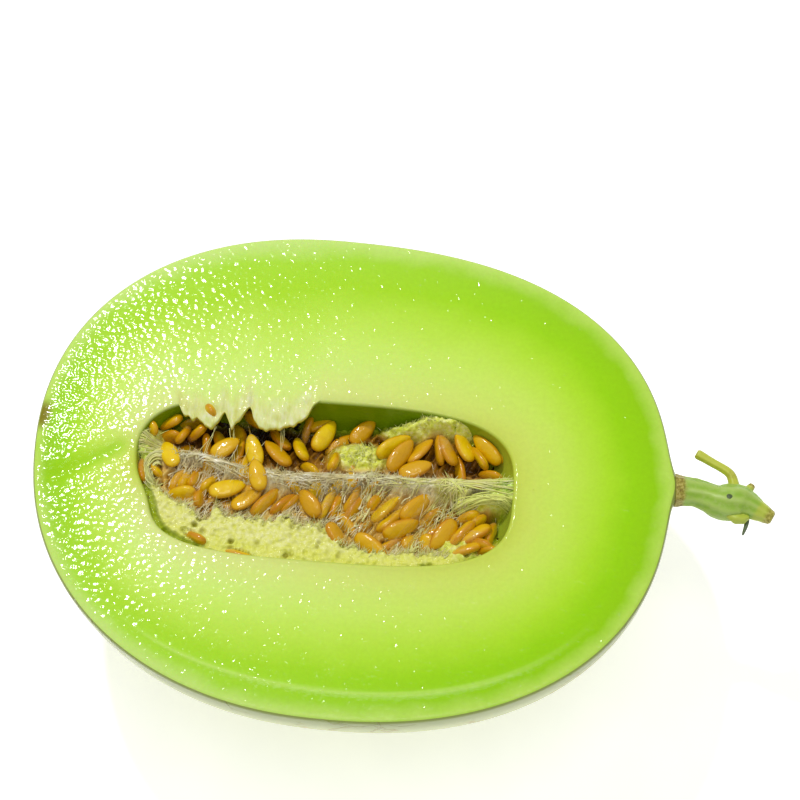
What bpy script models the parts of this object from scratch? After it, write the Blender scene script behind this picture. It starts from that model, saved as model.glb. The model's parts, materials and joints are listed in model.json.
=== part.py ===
"""Half a honeydew melon, cut lengthways through its seeds and lying on its rind, with its stem.

+X runs to the stem, +Z is up, and the origin is the middle of the small flat spot that the
fruit lies on, straight under its widest section. Heights inside the fruit count from the cut
face: 0 is the face and minus is below it.
"""

import math
import random
from collections import namedtuple

import bmesh
import bpy
import numpy as np
from mathutils import Matrix, Vector

MM = 0.001

# The fruit, measured on the cut face
FRUIT_LENGTH = 180 * MM
STEM_SIDE_LENGTH = 0.527 * FRUIT_LENGTH
BLOSSOM_SIDE_LENGTH = FRUIT_LENGTH - STEM_SIDE_LENGTH
HALF_WIDTH = 72.8 * MM
STEM_END_FULLNESS = 2.3
BLOSSOM_END_FULLNESS = 2.18
ROUND_FULLNESS = 2.0
LEAN = 0.015
PEAR = 0.008
FACE_HEIGHT = 72 * MM
FLAT_SPOT_DEPTH = 1.2 * MM
RIM_BEVEL = 0.7 * MM

# The seed cavity
CAVITY_MIDDLE = Vector((-2.6 * MM, -4.5 * MM))
CAVITY_HALF_LENGTH = 53.5 * MM
CAVITY_HALF_WIDTH = 23.8 * MM
CAVITY_FULLNESS = 3.4
CAVITY_DENT = 0.08
CAVITY_DENT_TURN = math.radians(-155)
CAVITY_DENT_REACH = math.radians(20)
CAVITY_DEPTH = 27 * MM
BOWL_FULLNESS = 2.2
EDGE_ROUNDING = 1.0 * MM
WALL_GAP = 0.5 * MM

# The ragged flap of inner flesh over the cavity's far edge: each lobe's x, half its width, its reach
FLAP_LOBES = (
    (-27 * MM, 21 * MM, 3.5 * MM),
    (-42 * MM, 3.5 * MM, 5 * MM),
    (-36 * MM, 5 * MM, 7.5 * MM),
    (-20 * MM, 8 * MM, 8 * MM),
    (-10 * MM, 5 * MM, 5 * MM),
)
FLAP_THICKNESS = 2 * MM

# The stem, whose middle lies just below the cut face
STEM_RADIUS = 4.2 * MM
STEM_MIDDLE_Y = 2.4 * MM
STEM_MIDDLE_DROP = 4.4 * MM
STEM_GAP = 0.35 * MM
COLLAR_HEIGHT = 1.8 * MM
COLLAR_SPREAD = 4 * MM

# A seed, wet and plump in its skin
SEED_LENGTH = 10.9 * MM
SEED_WIDTH = 5.2 * MM
SEED_THICKNESS = 2.6 * MM
SEED_STRING_RADIUS = 0.8 * MM
SEED_JITTER = 0.7 * MM
SEED_GAP = 0.5 * MM
SEED_SIDES = 6

# The pulp's bed, which lies deeper on the far side
BED_HEIGHT = -8 * MM
BED_FAR_DROP = 1.8 * MM
BED_SLOPE_REACH = 5 * MM
PULP_TOP_LIMIT = -1 * MM
PULP_MIN_THICKNESS = 1 * MM

# The fibrous strand along the pulp's middle, which swings away at the blossom end
STRAND_MIDDLE_Y = -1 * MM
STRAND_SWING = 0.12
STRAND_SWING_X = -10 * MM
STRAND_RISE = 4 * MM
STRAND_REACH = 3 * MM

# The spongy lip along the cavity's near edge, which narrows towards the stem
LIP_WIDTH = 11 * MM
LIP_NARROWING = 0.85
LIP_NARROWS_FROM_X = -5 * MM
LIP_NARROWS_TO_X = 38 * MM
LIP_EDGE_REACH = 3 * MM
LIP_RISE = 5 * MM

# The groove between that lip and the wall, at the blossom end
GROOVE_WIDTH = 3 * MM
GROOVE_EDGE_REACH = 2.5 * MM
GROOVE_END_X = -15 * MM
GROOVE_END_REACH = 15 * MM
GROOVE_DROP = 3.5 * MM

# Hills and hollows on the pulp: middle x and y, reach along x and y, height, all in millimetres
PULP_HILLS = (
    (4, 9, 10, 5, 4.5),
    (50, -2, 11, 5, 4.5),
    (-58, 0, 7, 13, 6.5),
    (-27, 12, 18, 5, -3.0),
    (12, 19, 20, 4, -4.0),
    (44, -9, 6, 4, -5.0),
    (38, -18, 9, 5, 1.5),
)

# How fine the meshes are
ANGLE_COUNT = 82
BOWL_RINGS = 7
FACE_RINGS = 3
OUTER_RINGS = 12
PULP_CELLS_LONG = 40
PULP_CELLS_ACROSS = 17
PULP_UNDER_RINGS = 5
PULP_RIM_SHARE = 0.985
PULP_CELL_REACH = 4 * MM

# Where the mesh is finer: at the stem's collar and along the flap
COLLAR_CROWDING = 1.5
COLLAR_TURNS = math.radians(16)
FLAP_CROWDING = 1.3
FLAP_TURN = math.radians(115)
FLAP_TURNS = math.radians(28)
OUTER_RING_CROWDING = 1.3

# A row of seeds: its two ends, how many, which way the first and last point, how far they stand on
# edge, and how high they lie over the pulp. Places are in millimetres and turns in degrees.
Row = namedtuple("Row", "start end count turn_from turn_to on_edge lift")

SEED_BUNCHES = {
    "seeds_upper_left": (
        Row((-52, 11), (-40, 11), 4, 170, 80, 25, 1.2),
        Row((-49, 6), (-35, 8), 3, 160, 60, 50, 0.5),
        Row((-46, 4), (-31, 5), 2, -80, -140, 10, 2.5),
    ),
    "seeds_upper_middle": (
        Row((-24, 7), (-10, 8), 3, 100, 115, 20, 1.5),
        Row((-24, 13), (-3, 12), 4, 130, 55, 45, 0.5),
        Row((7, 14), (7, 14), 1, 40, 40, 15, 0.8),
        Row((-1, 4), (-7, 3), 2, 90, 70, 55, 0.6),
    ),
    "seeds_upper_right": (
        Row((15.5, 10), (46, 12), 7, 28, 140, 30, 1.5),
        Row((18, 6), (42, 6), 4, 50, 150, 25, 1.8),
        Row((43, 2), (39, -0.5), 2, 165, 155, 40, -0.4),
    ),
    "seeds_lower_left": (
        Row((-54, -4.5), (-52, -9), 2, 90, 80, 40, 0.8),
        Row((-45, -7), (-34, -6.5), 4, 70, 40, 60, 1.0),
        Row((-41, -12), (-18, -11), 6, 15, 47, 15, 1.8),
        Row((-21, -4), (-21, -4), 1, 95, 95, 10, 1.6),
    ),
    "seeds_lower_middle": (
        Row((-8, -8), (13, -5), 5, 120, 50, 60, 0.8),
        Row((24, -8), (6, -11), 4, 42, 45, 25, 1.6),
        Row((3, -15), (20.5, -15.5), 3, 80, 22, 35, 1.4),
        Row((12.5, -20.5), (3, -20), 2, 145, 85, 15, 2.2),
    ),
    "seeds_lower_right": (
        Row((31, -16), (46, -14), 4, 50, 15, 15, 1.8),
        Row((44, -19), (37, -20), 3, 0, 15, 15, 1.6),
        Row((34, -9), (34, -9), 1, 40, 40, 30, 0.5),
    ),
}

RANDOM_SEED = 11


def clear_scene():
    for thing in list(bpy.data.objects):
        bpy.data.objects.remove(thing)


def linear(part):
    if part <= 0.04045:
        return part / 12.92
    return ((part + 0.055) / 1.055) ** 2.4


def finish(name, colour, roughness):
    """A plain finish from an sRGB hex colour."""
    material = bpy.data.materials.new(name)
    material.use_nodes = True
    shader = material.node_tree.nodes["Principled BSDF"]
    parts = [int(colour[i : i + 2], 16) / 255 for i in (0, 2, 4)]
    shader.inputs["Base Color"].default_value = (*[linear(part) for part in parts], 1)
    shader.inputs["Roughness"].default_value = roughness
    shader.inputs["Metallic"].default_value = 0
    return material


def smoothstep(low, high, value):
    share = min(1, max(0, (value - low) / (high - low)))
    return share * share * (3 - 2 * share)


def join_loops(build, inner, outer):
    """A band of faces between two loops of as many points."""
    band = []
    for k in range(len(inner)):
        after = (k + 1) % len(inner)
        band.append(build.faces.new((inner[k], inner[after], outer[after], outer[k])))
    return band


def body_from_rings(name, rings, materials, material_of_ring=None):
    """One closed body: each ring is joined to the next, and the first and last are filled."""
    mesh = bpy.data.meshes.new(name)
    build = bmesh.new()
    loops = [[build.verts.new(point) for point in ring] for ring in rings]
    for index, (inner, outer) in enumerate(zip(loops, loops[1:])):
        for side in join_loops(build, inner, outer):
            if material_of_ring:
                side.material_index = material_of_ring(index)
    build.faces.new(loops[0])
    last = build.faces.new(loops[-1])
    if material_of_ring:
        last.material_index = material_of_ring(len(rings))
    bmesh.ops.recalc_face_normals(build, faces=build.faces)
    build.to_mesh(mesh)
    build.free()
    thing = bpy.data.objects.new(name, mesh)
    bpy.context.scene.collection.objects.link(thing)
    for material in materials:
        mesh.materials.append(material)
    return thing


def fuse(name, pieces):
    """One body from pieces that overlap: a Boolean union of the first with all the others."""
    first = pieces[0]
    others = pieces[1:]
    group = bpy.data.collections.new(name + "_pieces")
    for piece in others:
        group.objects.link(piece)
    union = first.modifiers.new("union", "BOOLEAN")
    union.operation = "UNION"
    union.operand_type = "COLLECTION"
    union.collection = group
    graph = bpy.context.evaluated_depsgraph_get()
    whole = bpy.data.meshes.new_from_object(first.evaluated_get(graph))
    first.modifiers.clear()
    first.data = whole
    first.name = name
    whole.name = name
    for piece in others:
        bpy.data.objects.remove(piece)
    bpy.data.collections.remove(group)
    return first


def shade(thing, sharp_above=40):
    thing.data.shade_smooth()
    thing.data.set_sharp_from_angle(angle=math.radians(sharp_above))


def fullness(turn):
    """How square an upright section through the middle is, from round across to full along."""
    along = math.cos(turn)
    end = STEM_END_FULLNESS if along > 0 else BLOSSOM_END_FULLNESS
    return ROUND_FULLNESS + (end - ROUND_FULLNESS) * along * along


def rim_radius(turn):
    """The cut face's outline, from the middle of the widest section."""
    along = math.cos(turn)
    across = math.sin(turn)
    side = STEM_SIDE_LENGTH if along > 0 else BLOSSOM_SIDE_LENGTH
    power = STEM_END_FULLNESS if along > 0 else BLOSSOM_END_FULLNESS
    plain = (abs(along / side) ** power + abs(across / HALF_WIDTH) ** power) ** (-1 / power)
    return plain * (1 - LEAN * math.sin(2 * turn) + PEAR * math.sin(3 * turn))


def collar(y, height):
    """How far the rind rises along the stem, at a place on the stem end."""
    off = math.hypot(y - STEM_MIDDLE_Y, height + STEM_MIDDLE_DROP)
    return COLLAR_HEIGHT * math.exp(-max(0, off - STEM_RADIUS) / COLLAR_SPREAD)


def outer_point(turn, depth, inset=0):
    """A point on the rind, below the cut face by depth."""
    share = depth / (FACE_HEIGHT + FLAT_SPOT_DEPTH)
    power = fullness(turn)
    radius = rim_radius(turn) * (1 - share**power) ** (1 / power) - inset
    x = radius * math.cos(turn)
    y = radius * math.sin(turn)
    if x > 0:
        x += collar(y, -depth) * smoothstep(0.7, 0.95, x / STEM_SIDE_LENGTH)
    return Vector((x, y, FACE_HEIGHT - depth))


def cavity_edge(turn):
    """The cavity's plain edge on the cut face, from the cavity's middle."""
    along = math.cos(turn)
    across = math.sin(turn)
    fill = (abs(along) ** CAVITY_FULLNESS + abs(across) ** CAVITY_FULLNESS) ** (-1 / CAVITY_FULLNESS)
    off = math.remainder(turn - CAVITY_DENT_TURN, 2 * math.pi) / CAVITY_DENT_REACH
    fill *= 1 - CAVITY_DENT * math.exp(-off * off)
    return Vector((CAVITY_HALF_LENGTH * along * fill, CAVITY_HALF_WIDTH * across * fill))


def cavity_share(spot):
    """How far out a spot is, from 0 in the cavity's middle to 1 on its edge at the face."""
    off = spot - CAVITY_MIDDLE
    turn = math.atan2(off.y / CAVITY_HALF_WIDTH, off.x / CAVITY_HALF_LENGTH)
    return off.length / cavity_edge(turn).length


def bowl_share(depth):
    """How wide the cavity is at a depth, as a share of its width at the face."""
    share = min(1, max(0, depth / CAVITY_DEPTH))
    return (1 - share**BOWL_FULLNESS) ** (1 / BOWL_FULLNESS)


def flap_reach(x):
    """How far the flap hangs over the far edge at x."""
    reach = 0
    for lobe_x, half_width, lobe_reach in FLAP_LOBES:
        reach = max(reach, lobe_reach * (1 - min(1, abs(x - lobe_x) / half_width) ** 2))
    return reach


def cavity_point(turn, depth, overhang=0, gap=0):
    """A point on the cavity's wall. The overhang brings in the flap's share of its reach."""
    edge = cavity_edge(turn) * bowl_share(depth)
    edge -= edge.normalized() * min(gap, 0.9 * edge.length)
    place = CAVITY_MIDDLE + edge
    if edge.y > 0:
        place.y -= overhang * flap_reach(place.x)
    return Vector((place.x, place.y, FACE_HEIGHT - depth))


def ring_turns(count):
    """Turns round the fruit, closer together at the stem's collar and along the flap."""
    fine = np.linspace(-math.pi, math.pi, 1441)
    crowd = 1 + COLLAR_CROWDING * np.exp(-((fine / COLLAR_TURNS) ** 2))
    crowd += FLAP_CROWDING * np.exp(-(((fine - FLAP_TURN) / FLAP_TURNS) ** 2))
    along = np.concatenate(([0], np.cumsum(crowd[1:] + crowd[:-1])))
    return np.interp(np.arange(count) * along[-1] / count, along, fine)


def make_fruit(flesh, rind):
    turns = ring_turns(ANGLE_COUNT)
    rings = []
    for k in range(BOWL_RINGS):
        down = math.pi / 2 * (BOWL_RINGS - k) / (BOWL_RINGS + 0.3)
        depth = CAVITY_DEPTH * math.sin(down)
        if depth > 2 * FLAP_THICKNESS:
            rings.append([cavity_point(turn, depth) for turn in turns])
    rings.append([cavity_point(turn, 2 * FLAP_THICKNESS) for turn in turns])
    rings.append([cavity_point(turn, FLAP_THICKNESS, overhang=0.75) for turn in turns])
    rings.append([cavity_point(turn, EDGE_ROUNDING, overhang=1) for turn in turns])
    edge = [cavity_point(turn, 0, overhang=0.94, gap=-EDGE_ROUNDING) for turn in turns]
    skin_edge = [outer_point(turn, 0, inset=RIM_BEVEL) for turn in turns]
    for k in range(FACE_RINGS + 1):
        share = k / FACE_RINGS
        rings.append([a.lerp(b, share) for a, b in zip(edge, skin_edge)])
    face_ring = len(rings) - 1
    rings.append([outer_point(turn, RIM_BEVEL) for turn in turns])
    lowest = math.asin(FACE_HEIGHT / (FACE_HEIGHT + FLAT_SPOT_DEPTH))
    for k in range(1, OUTER_RINGS + 1):
        down = lowest * (k / OUTER_RINGS) ** OUTER_RING_CROWDING
        depth = (FACE_HEIGHT + FLAT_SPOT_DEPTH) * math.sin(down)
        rings.append([outer_point(turn, depth) for turn in turns])
    fruit = body_from_rings("melon_half", rings, [flesh, rind], lambda ring: int(ring >= face_ring))
    shade(fruit)
    return fruit


def tube(name, path, radii, sides, material):
    """A closed round body along a path, with a radius at each of its points."""
    rings = []
    for k, middle in enumerate(path):
        ahead = path[min(k + 1, len(path) - 1)] - path[max(k - 1, 0)]
        side = ahead.normalized().cross(Vector((0, 0, 1)))
        if side.length < 0.1:
            side = Vector((1, 0, 0))
        side.normalize()
        up = side.cross(ahead).normalized()
        ring = []
        for j in range(sides):
            turn = 2 * math.pi * j / sides
            ring.append(middle + radii[k] * (math.cos(turn) * side + math.sin(turn) * up))
        rings.append(ring)
    return body_from_rings(name, rings, [material])


def stem_place(along, across, up=0):
    """A point measured from the middle of the stem's foot, in millimetres."""
    foot = STEM_SIDE_LENGTH + COLLAR_HEIGHT + STEM_GAP
    middle = FACE_HEIGHT - STEM_MIDDLE_DROP
    return Vector((foot + along * MM, STEM_MIDDLE_Y + across * MM, middle + up * MM))


def make_stem(material):
    """The stem, the thick joint of the vine that it was cut with, and what grows from that joint."""
    stalk = tube(
        "stalk",
        [
            stem_place(0, 0),
            stem_place(3, 0),
            stem_place(6, -0.3),
            stem_place(9, -1.3),
            stem_place(11.5, -2.2),
            stem_place(14.5, -2.4),
            stem_place(18, -2.2),
            stem_place(20.5, -2.9),
            stem_place(24, -4.6),
            stem_place(27.2, -6.2),
        ],
        [r * MM for r in (4.4, 4.1, 4.0, 4.1, 4.7, 5.2, 5.0, 3.9, 2.7, 1.9)],
        14,
        material,
    )
    branch = tube(
        "branch",
        [
            stem_place(16.4, 0, 0.5),
            stem_place(15.9, 3.6, 0.8),
            stem_place(14.4, 6.4, 1),
            stem_place(9.5, 9.2, 1),
            stem_place(5.2, 11.4, 1.2),
        ],
        [r * MM for r in (1.7, 1.6, 1.5, 1.35, 1.45)],
        8,
        material,
    )
    tendril = tube(
        "tendril",
        [stem_place(19.5, -5), stem_place(20, -8), stem_place(18.9, -11.8)],
        [r * MM for r in (1.0, 0.7, 0.25)],
        6,
        material,
    )
    bud = tube(
        "bud",
        [stem_place(19, 0, 0.5), stem_place(20.6, 2.2, 0.8), stem_place(21.4, 3.2, 1)],
        [r * MM for r in (1.6, 1.1, 0.7)],
        8,
        material,
    )
    leaf_scar = tube(
        "leaf_scar",
        [stem_place(14, -6.2, 1), stem_place(17, -7.4, 1.2), stem_place(20, -7, 1)],
        [r * MM for r in (1.2, 1.7, 1.1)],
        8,
        material,
    )
    stem = fuse("stem", [stalk, branch, tendril, bud, leaf_scar])
    shade(stem)
    return stem


def strand_y(x):
    """Where the fibrous strand through the middle of the pulp runs."""
    return STRAND_MIDDLE_Y + STRAND_SWING * max(0, STRAND_SWING_X - x)


def near_edge_y(x):
    """The cavity's near edge on the face at x."""
    share = min(1, abs(x - CAVITY_MIDDLE.x) / CAVITY_HALF_LENGTH)
    return CAVITY_MIDDLE.y - CAVITY_HALF_WIDTH * (1 - share**CAVITY_FULLNESS) ** (1 / CAVITY_FULLNESS)


def pulp_height(x, y):
    """The pulp's surface before the seeds press into it, below the cut face."""
    height = BED_HEIGHT - BED_FAR_DROP * math.tanh(y / BED_SLOPE_REACH)
    height += STRAND_RISE * math.exp(-(((y - strand_y(x)) / STRAND_REACH) ** 2))
    inside = y - near_edge_y(x)
    lip = LIP_WIDTH * (1 - LIP_NARROWING * smoothstep(LIP_NARROWS_FROM_X, LIP_NARROWS_TO_X, x))
    height += LIP_RISE * smoothstep(0, LIP_EDGE_REACH, lip - inside)
    groove = smoothstep(0, GROOVE_EDGE_REACH, GROOVE_WIDTH - inside)
    height -= GROOVE_DROP * groove * smoothstep(0, GROOVE_END_REACH, GROOVE_END_X - x)
    for hill_x, hill_y, reach_x, reach_y, rise in PULP_HILLS:
        along = (x / MM - hill_x) / reach_x
        across = (y / MM - hill_y) / reach_y
        height += rise * MM * math.exp(-along * along - across * across)
    return min(height, PULP_TOP_LIMIT)


def seed_shape():
    """A flat drop: rings from near the point to near the round end, and the two tips."""
    rings = []
    for share in (0.1, 0.36, 0.66, 0.9):
        swell = math.sqrt(share * (1 - share)) * (0.6 + 0.8 * share) / 0.54
        ring = []
        for k in range(SEED_SIDES):
            turn = 2 * math.pi * k / SEED_SIDES
            across = SEED_WIDTH / 2 * swell * math.cos(turn)
            through = SEED_THICKNESS / 2 * min(1, 1.1 * swell) * math.sin(turn) / math.sin(math.pi / 3)
            ring.append(Vector(((share - 0.5) * SEED_LENGTH, across, through)))
        rings.append(ring)
    tips = Vector((-SEED_LENGTH / 2, 0, 0)), Vector((SEED_LENGTH / 2, 0, 0))
    return rings, tips


def make_seed(name, place, material):
    rings, tips = seed_shape()
    mesh = bpy.data.meshes.new(name)
    build = bmesh.new()
    loops = [[build.verts.new(point) for point in ring] for ring in rings]
    first_tip = build.verts.new(tips[0])
    last_tip = build.verts.new(tips[1])
    for k in range(SEED_SIDES):
        after = (k + 1) % SEED_SIDES
        for inner, outer in zip(loops, loops[1:]):
            build.faces.new((inner[k], inner[after], outer[after], outer[k]))
        build.faces.new((loops[0][k], loops[0][after], first_tip))
        build.faces.new((loops[-1][k], loops[-1][after], last_tip))
    bmesh.ops.recalc_face_normals(build, faces=build.faces)
    bmesh.ops.transform(build, matrix=place, verts=build.verts)
    build.to_mesh(mesh)
    build.free()
    mesh.materials.append(material)
    seed = bpy.data.objects.new(name, mesh)
    bpy.context.scene.collection.objects.link(seed)
    return seed


def keep_inside(x, y, turn, height):
    """Moves a seed in from the cavity's wall until both its ends are clear of it."""
    reach = Vector((math.cos(turn), math.sin(turn))) * (SEED_LENGTH / 2 + WALL_GAP)
    room = bowl_share(-height + SEED_WIDTH / 2) * 0.97
    place = Vector((x, y))
    for _ in range(60):
        worst = 0
        for tip in (place + reach, place - reach):
            worst = max(worst, cavity_share(tip))
        if worst <= room:
            break
        place = place.lerp(CAVITY_MIDDLE, 0.02)
    return place


def seed_places(rows, draw):
    """The place and lie of every seed in a bunch, row by row."""
    places = []
    for row in rows:
        for k in range(row.count):
            share = k / max(1, row.count - 1)
            x = (row.start[0] + (row.end[0] - row.start[0]) * share) * MM
            y = (row.start[1] + (row.end[1] - row.start[1]) * share) * MM
            x += draw.uniform(-SEED_JITTER, SEED_JITTER)
            y += draw.uniform(-SEED_JITTER, SEED_JITTER)
            turn = math.radians(row.turn_from + (row.turn_to - row.turn_from) * share + draw.uniform(-12, 12))
            if draw.random() < 0.3:
                turn += math.pi
            pitch = math.radians(draw.uniform(-8, 12))
            roll = math.radians(row.on_edge * draw.choice((-1, 1)) + draw.uniform(-12, 12))
            height = pulp_height(x, y) + row.lift * MM
            spot = keep_inside(x, y, turn, height)
            place = Matrix.Translation((spot.x, spot.y, FACE_HEIGHT + height))
            place = place @ Matrix.Rotation(turn, 4, "Z")
            place = place @ Matrix.Rotation(-pitch, 4, "Y")
            places.append(place @ Matrix.Rotation(roll, 4, "X"))
    return places


def make_seeds(material):
    """Each bunch is one body: its seeds, strung together through their middles."""
    draw = random.Random(RANDOM_SEED)
    bunches = []
    for name, rows in SEED_BUNCHES.items():
        places = seed_places(rows, draw)
        pieces = [make_seed("seed", place, material) for place in places]
        for here, there in zip(places, places[1:]):
            ends = [here.translation, there.translation]
            pieces.append(tube("string", ends, [SEED_STRING_RADIUS] * 2, 5, material))
        bunch = fuse(name, pieces)
        shade(bunch, 60)
        bunches.append(bunch)
    return bunches


def points_on_edges(things, spacing=1.2 * MM):
    """Points along every edge of the things, close enough to stand for their undersides."""
    points = []
    for thing in things:
        verts = thing.data.vertices
        for edge in thing.data.edges:
            a = verts[edge.vertices[0]].co
            b = verts[edge.vertices[1]].co
            steps = max(1, math.ceil((b - a).length / spacing))
            points.extend(a.lerp(b, k / steps) for k in range(steps + 1))
    return np.array(points)


def wall_floor(spot):
    """The lowest that the pulp may reach at a spot: clear of the cavity's wall, out and down."""
    off = spot - CAVITY_MIDDLE
    further = spot + off.normalized() * WALL_GAP
    share = min(1, cavity_share(further))
    return WALL_GAP - CAVITY_DEPTH * (1 - share**BOWL_FULLNESS) ** (1 / BOWL_FULLNESS)


def pulp_rim(turn):
    """Where the pulp meets the wall, from the cavity's middle: further in where the pulp lies lower."""
    edge = cavity_edge(turn)
    share = PULP_RIM_SHARE
    for _ in range(4):
        spot = CAVITY_MIDDLE + edge * share
        depth = PULP_MIN_THICKNESS + WALL_GAP - pulp_height(spot.x, spot.y)
        share = min(PULP_RIM_SHARE, bowl_share(depth))
    return edge * (share - WALL_GAP / edge.length)


def pulp_spot(along, across):
    """A spot on the pulp in plan, from -1 to 1 along and across: at 1 it is on the rim."""
    reach = max(abs(along), abs(across))
    return CAVITY_MIDDLE + pulp_rim(math.atan2(across, along)) * reach


def pulp_top(spot, seed_points):
    """The pulp's surface at a spot, pressed down under any seed in the cells next to it."""
    height = pulp_height(spot.x, spot.y)
    near = np.hypot(seed_points[:, 0] - spot.x, seed_points[:, 1] - spot.y) < PULP_CELL_REACH
    if near.any():
        height = min(height, float(seed_points[near, 2].min()) - FACE_HEIGHT - SEED_GAP)
    height = max(height, wall_floor(spot) + PULP_MIN_THICKNESS)
    return Vector((spot.x, spot.y, FACE_HEIGHT + height))


def make_pulp(material, bunches):
    """The soft pulp that fills the cavity: a fine surface under the seeds, and a plain round underside."""
    seed_points = points_on_edges(bunches)
    build = bmesh.new()
    grid = []
    for i in range(PULP_CELLS_LONG + 1):
        along = 2 * i / PULP_CELLS_LONG - 1
        line = [pulp_spot(along, 2 * j / PULP_CELLS_ACROSS - 1) for j in range(PULP_CELLS_ACROSS + 1)]
        grid.append([build.verts.new(pulp_top(spot, seed_points)) for spot in line])
    for near, far in zip(grid, grid[1:]):
        for j in range(PULP_CELLS_ACROSS):
            build.faces.new((near[j], far[j], far[j + 1], near[j + 1]))
    loop = [line[0] for line in grid] + grid[-1][1:]
    loop += [line[-1] for line in reversed(grid[:-1])] + grid[0][-2:0:-1]
    rim = [vert.co.xy - CAVITY_MIDDLE for vert in loop]
    for k in range(PULP_UNDER_RINGS + 1):
        share = math.cos(math.pi / 2 * k / (PULP_UNDER_RINGS + 0.4))
        spots = [CAVITY_MIDDLE + edge * share for edge in rim]
        lower = [build.verts.new((spot.x, spot.y, FACE_HEIGHT + wall_floor(spot))) for spot in spots]
        join_loops(build, loop, lower)
        loop = lower
    build.faces.new(loop)
    bmesh.ops.recalc_face_normals(build, faces=build.faces)
    mesh = bpy.data.meshes.new("seed_pulp")
    build.to_mesh(mesh)
    build.free()
    mesh.materials.append(material)
    pulp = bpy.data.objects.new("seed_pulp", mesh)
    bpy.context.scene.collection.objects.link(pulp)
    shade(pulp, 60)
    return pulp


def main():
    clear_scene()
    flesh = finish("flesh", "b9e655", 0.3)
    rind = finish("rind", "dbe29c", 0.35)
    pulp_flesh = finish("seed_pulp", "d9dc86", 0.35)
    seed_skin = finish("seed_skin", "d39a18", 0.25)
    stalk_skin = finish("stalk_skin", "87a437", 0.55)
    make_fruit(flesh, rind)
    make_stem(stalk_skin)
    bunches = make_seeds(seed_skin)
    make_pulp(pulp_flesh, bunches)


main()
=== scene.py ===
"""The finish of a halved honeydew melon: wet green flesh, seed cavity, pulp, seeds, rind and stem.

Everything is in metres. +X runs to the stem, +Y is away from the viewer and +Z is up. Heights
inside the fruit count from the cut face: 0 is the face and minus is below it.
"""

import json
import math
import random
from collections import namedtuple

import bmesh
import bpy
import numpy as np
from mathutils import Matrix, Vector, kdtree, noise

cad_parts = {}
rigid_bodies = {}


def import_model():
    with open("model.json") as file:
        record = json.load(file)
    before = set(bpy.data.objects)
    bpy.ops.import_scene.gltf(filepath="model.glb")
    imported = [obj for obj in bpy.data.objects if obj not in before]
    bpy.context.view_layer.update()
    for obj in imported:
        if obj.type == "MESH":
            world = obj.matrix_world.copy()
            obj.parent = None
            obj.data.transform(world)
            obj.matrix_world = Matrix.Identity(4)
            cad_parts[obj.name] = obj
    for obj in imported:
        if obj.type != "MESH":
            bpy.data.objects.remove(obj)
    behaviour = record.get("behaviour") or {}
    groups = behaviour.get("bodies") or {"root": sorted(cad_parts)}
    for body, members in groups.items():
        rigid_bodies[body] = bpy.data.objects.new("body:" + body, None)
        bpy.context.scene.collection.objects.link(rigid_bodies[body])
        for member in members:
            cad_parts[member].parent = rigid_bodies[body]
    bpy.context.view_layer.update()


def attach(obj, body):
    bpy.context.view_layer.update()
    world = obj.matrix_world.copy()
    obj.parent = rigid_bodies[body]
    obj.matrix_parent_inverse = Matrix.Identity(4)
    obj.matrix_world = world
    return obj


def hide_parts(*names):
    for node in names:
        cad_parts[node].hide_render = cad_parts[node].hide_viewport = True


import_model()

MM = 0.001

# The fruit, measured on the cut face
FRUIT_LENGTH = 180 * MM
STEM_SIDE_LENGTH = 0.527 * FRUIT_LENGTH
BLOSSOM_SIDE_LENGTH = FRUIT_LENGTH - STEM_SIDE_LENGTH
HALF_WIDTH = 72.8 * MM
STEM_END_FULLNESS = 2.3
BLOSSOM_END_FULLNESS = 2.18
ROUND_FULLNESS = 2.0
LEAN = 0.015
PEAR = 0.008
FACE_HEIGHT = 72 * MM
FLAT_SPOT_DEPTH = 1.2 * MM
RIM_ROUNDING = 1.3 * MM

# The seed cavity
CAVITY_MIDDLE = Vector((-2.6 * MM, -4.5 * MM))
CAVITY_HALF_LENGTH = 53.5 * MM
CAVITY_HALF_WIDTH = 23.8 * MM
CAVITY_FULLNESS = 3.4
CAVITY_DENT = 0.08
CAVITY_DENT_TURN = math.radians(-155)
CAVITY_DENT_REACH = math.radians(20)
CAVITY_DEPTH = 27 * MM
BOWL_FULLNESS = 2.2
EDGE_ROUNDING = 1.0 * MM
# How much of the wall's painted shade shows on each ring of the rounded edge
EDGE_PAINTED_SHADE_SHARES = (0.6, 0.3, 0.12)
WALL_GAP = 0.5 * MM
WALL_OVERLAP = 0.4 * MM

# The torn lower edge of the flap of inner flesh that hangs over the far edge, in millimetres
FLAP_EDGE = (
    (-53.0, 14.9), (-50.3, 15.8), (-48.0, 15.9), (-45.9, 15.5), (-44.8, 13.4), (-42.8, 12.4),
    (-41.2, 11.2), (-40.3, 12.5), (-39.2, 11.4), (-37.4, 9.9), (-35.2, 10.2), (-33.5, 12.6),
    (-32.5, 14.6), (-31.5, 12.6), (-30.2, 9.6), (-29.2, 11.5), (-27.4, 13.6), (-25.4, 16.2),
    (-24.2, 13.6), (-22.8, 11.2), (-20.8, 10.5), (-18.9, 10.6), (-15.4, 11.4), (-11.7, 12.9),
    (-9.4, 14.6), (-7.9, 17.4), (-5.5, 20.0),
)
FLAP_THICKNESS = 2 * MM
FLAP_DROOP = 2 * MM
FLAP_FRAY = 0.45 * MM
FLAP_ROOT_SHARE = 0.2

# What the knife left on the cut face: a step on the near side, a crease at the blossom end
STREAK_SHARE = 0.82
STREAK_WIDTH = 0.016
CREASE_START = Vector((-81 * MM, -11.5 * MM))
CREASE_END = Vector((-58 * MM, 3 * MM))
CREASE_REACH = 2.6 * MM
CREASE_DEPTH = 0.5 * MM
SCAR_PLACE = Vector((-84.5 * MM, 9 * MM))
SCAR_REACH = 6 * MM

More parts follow.
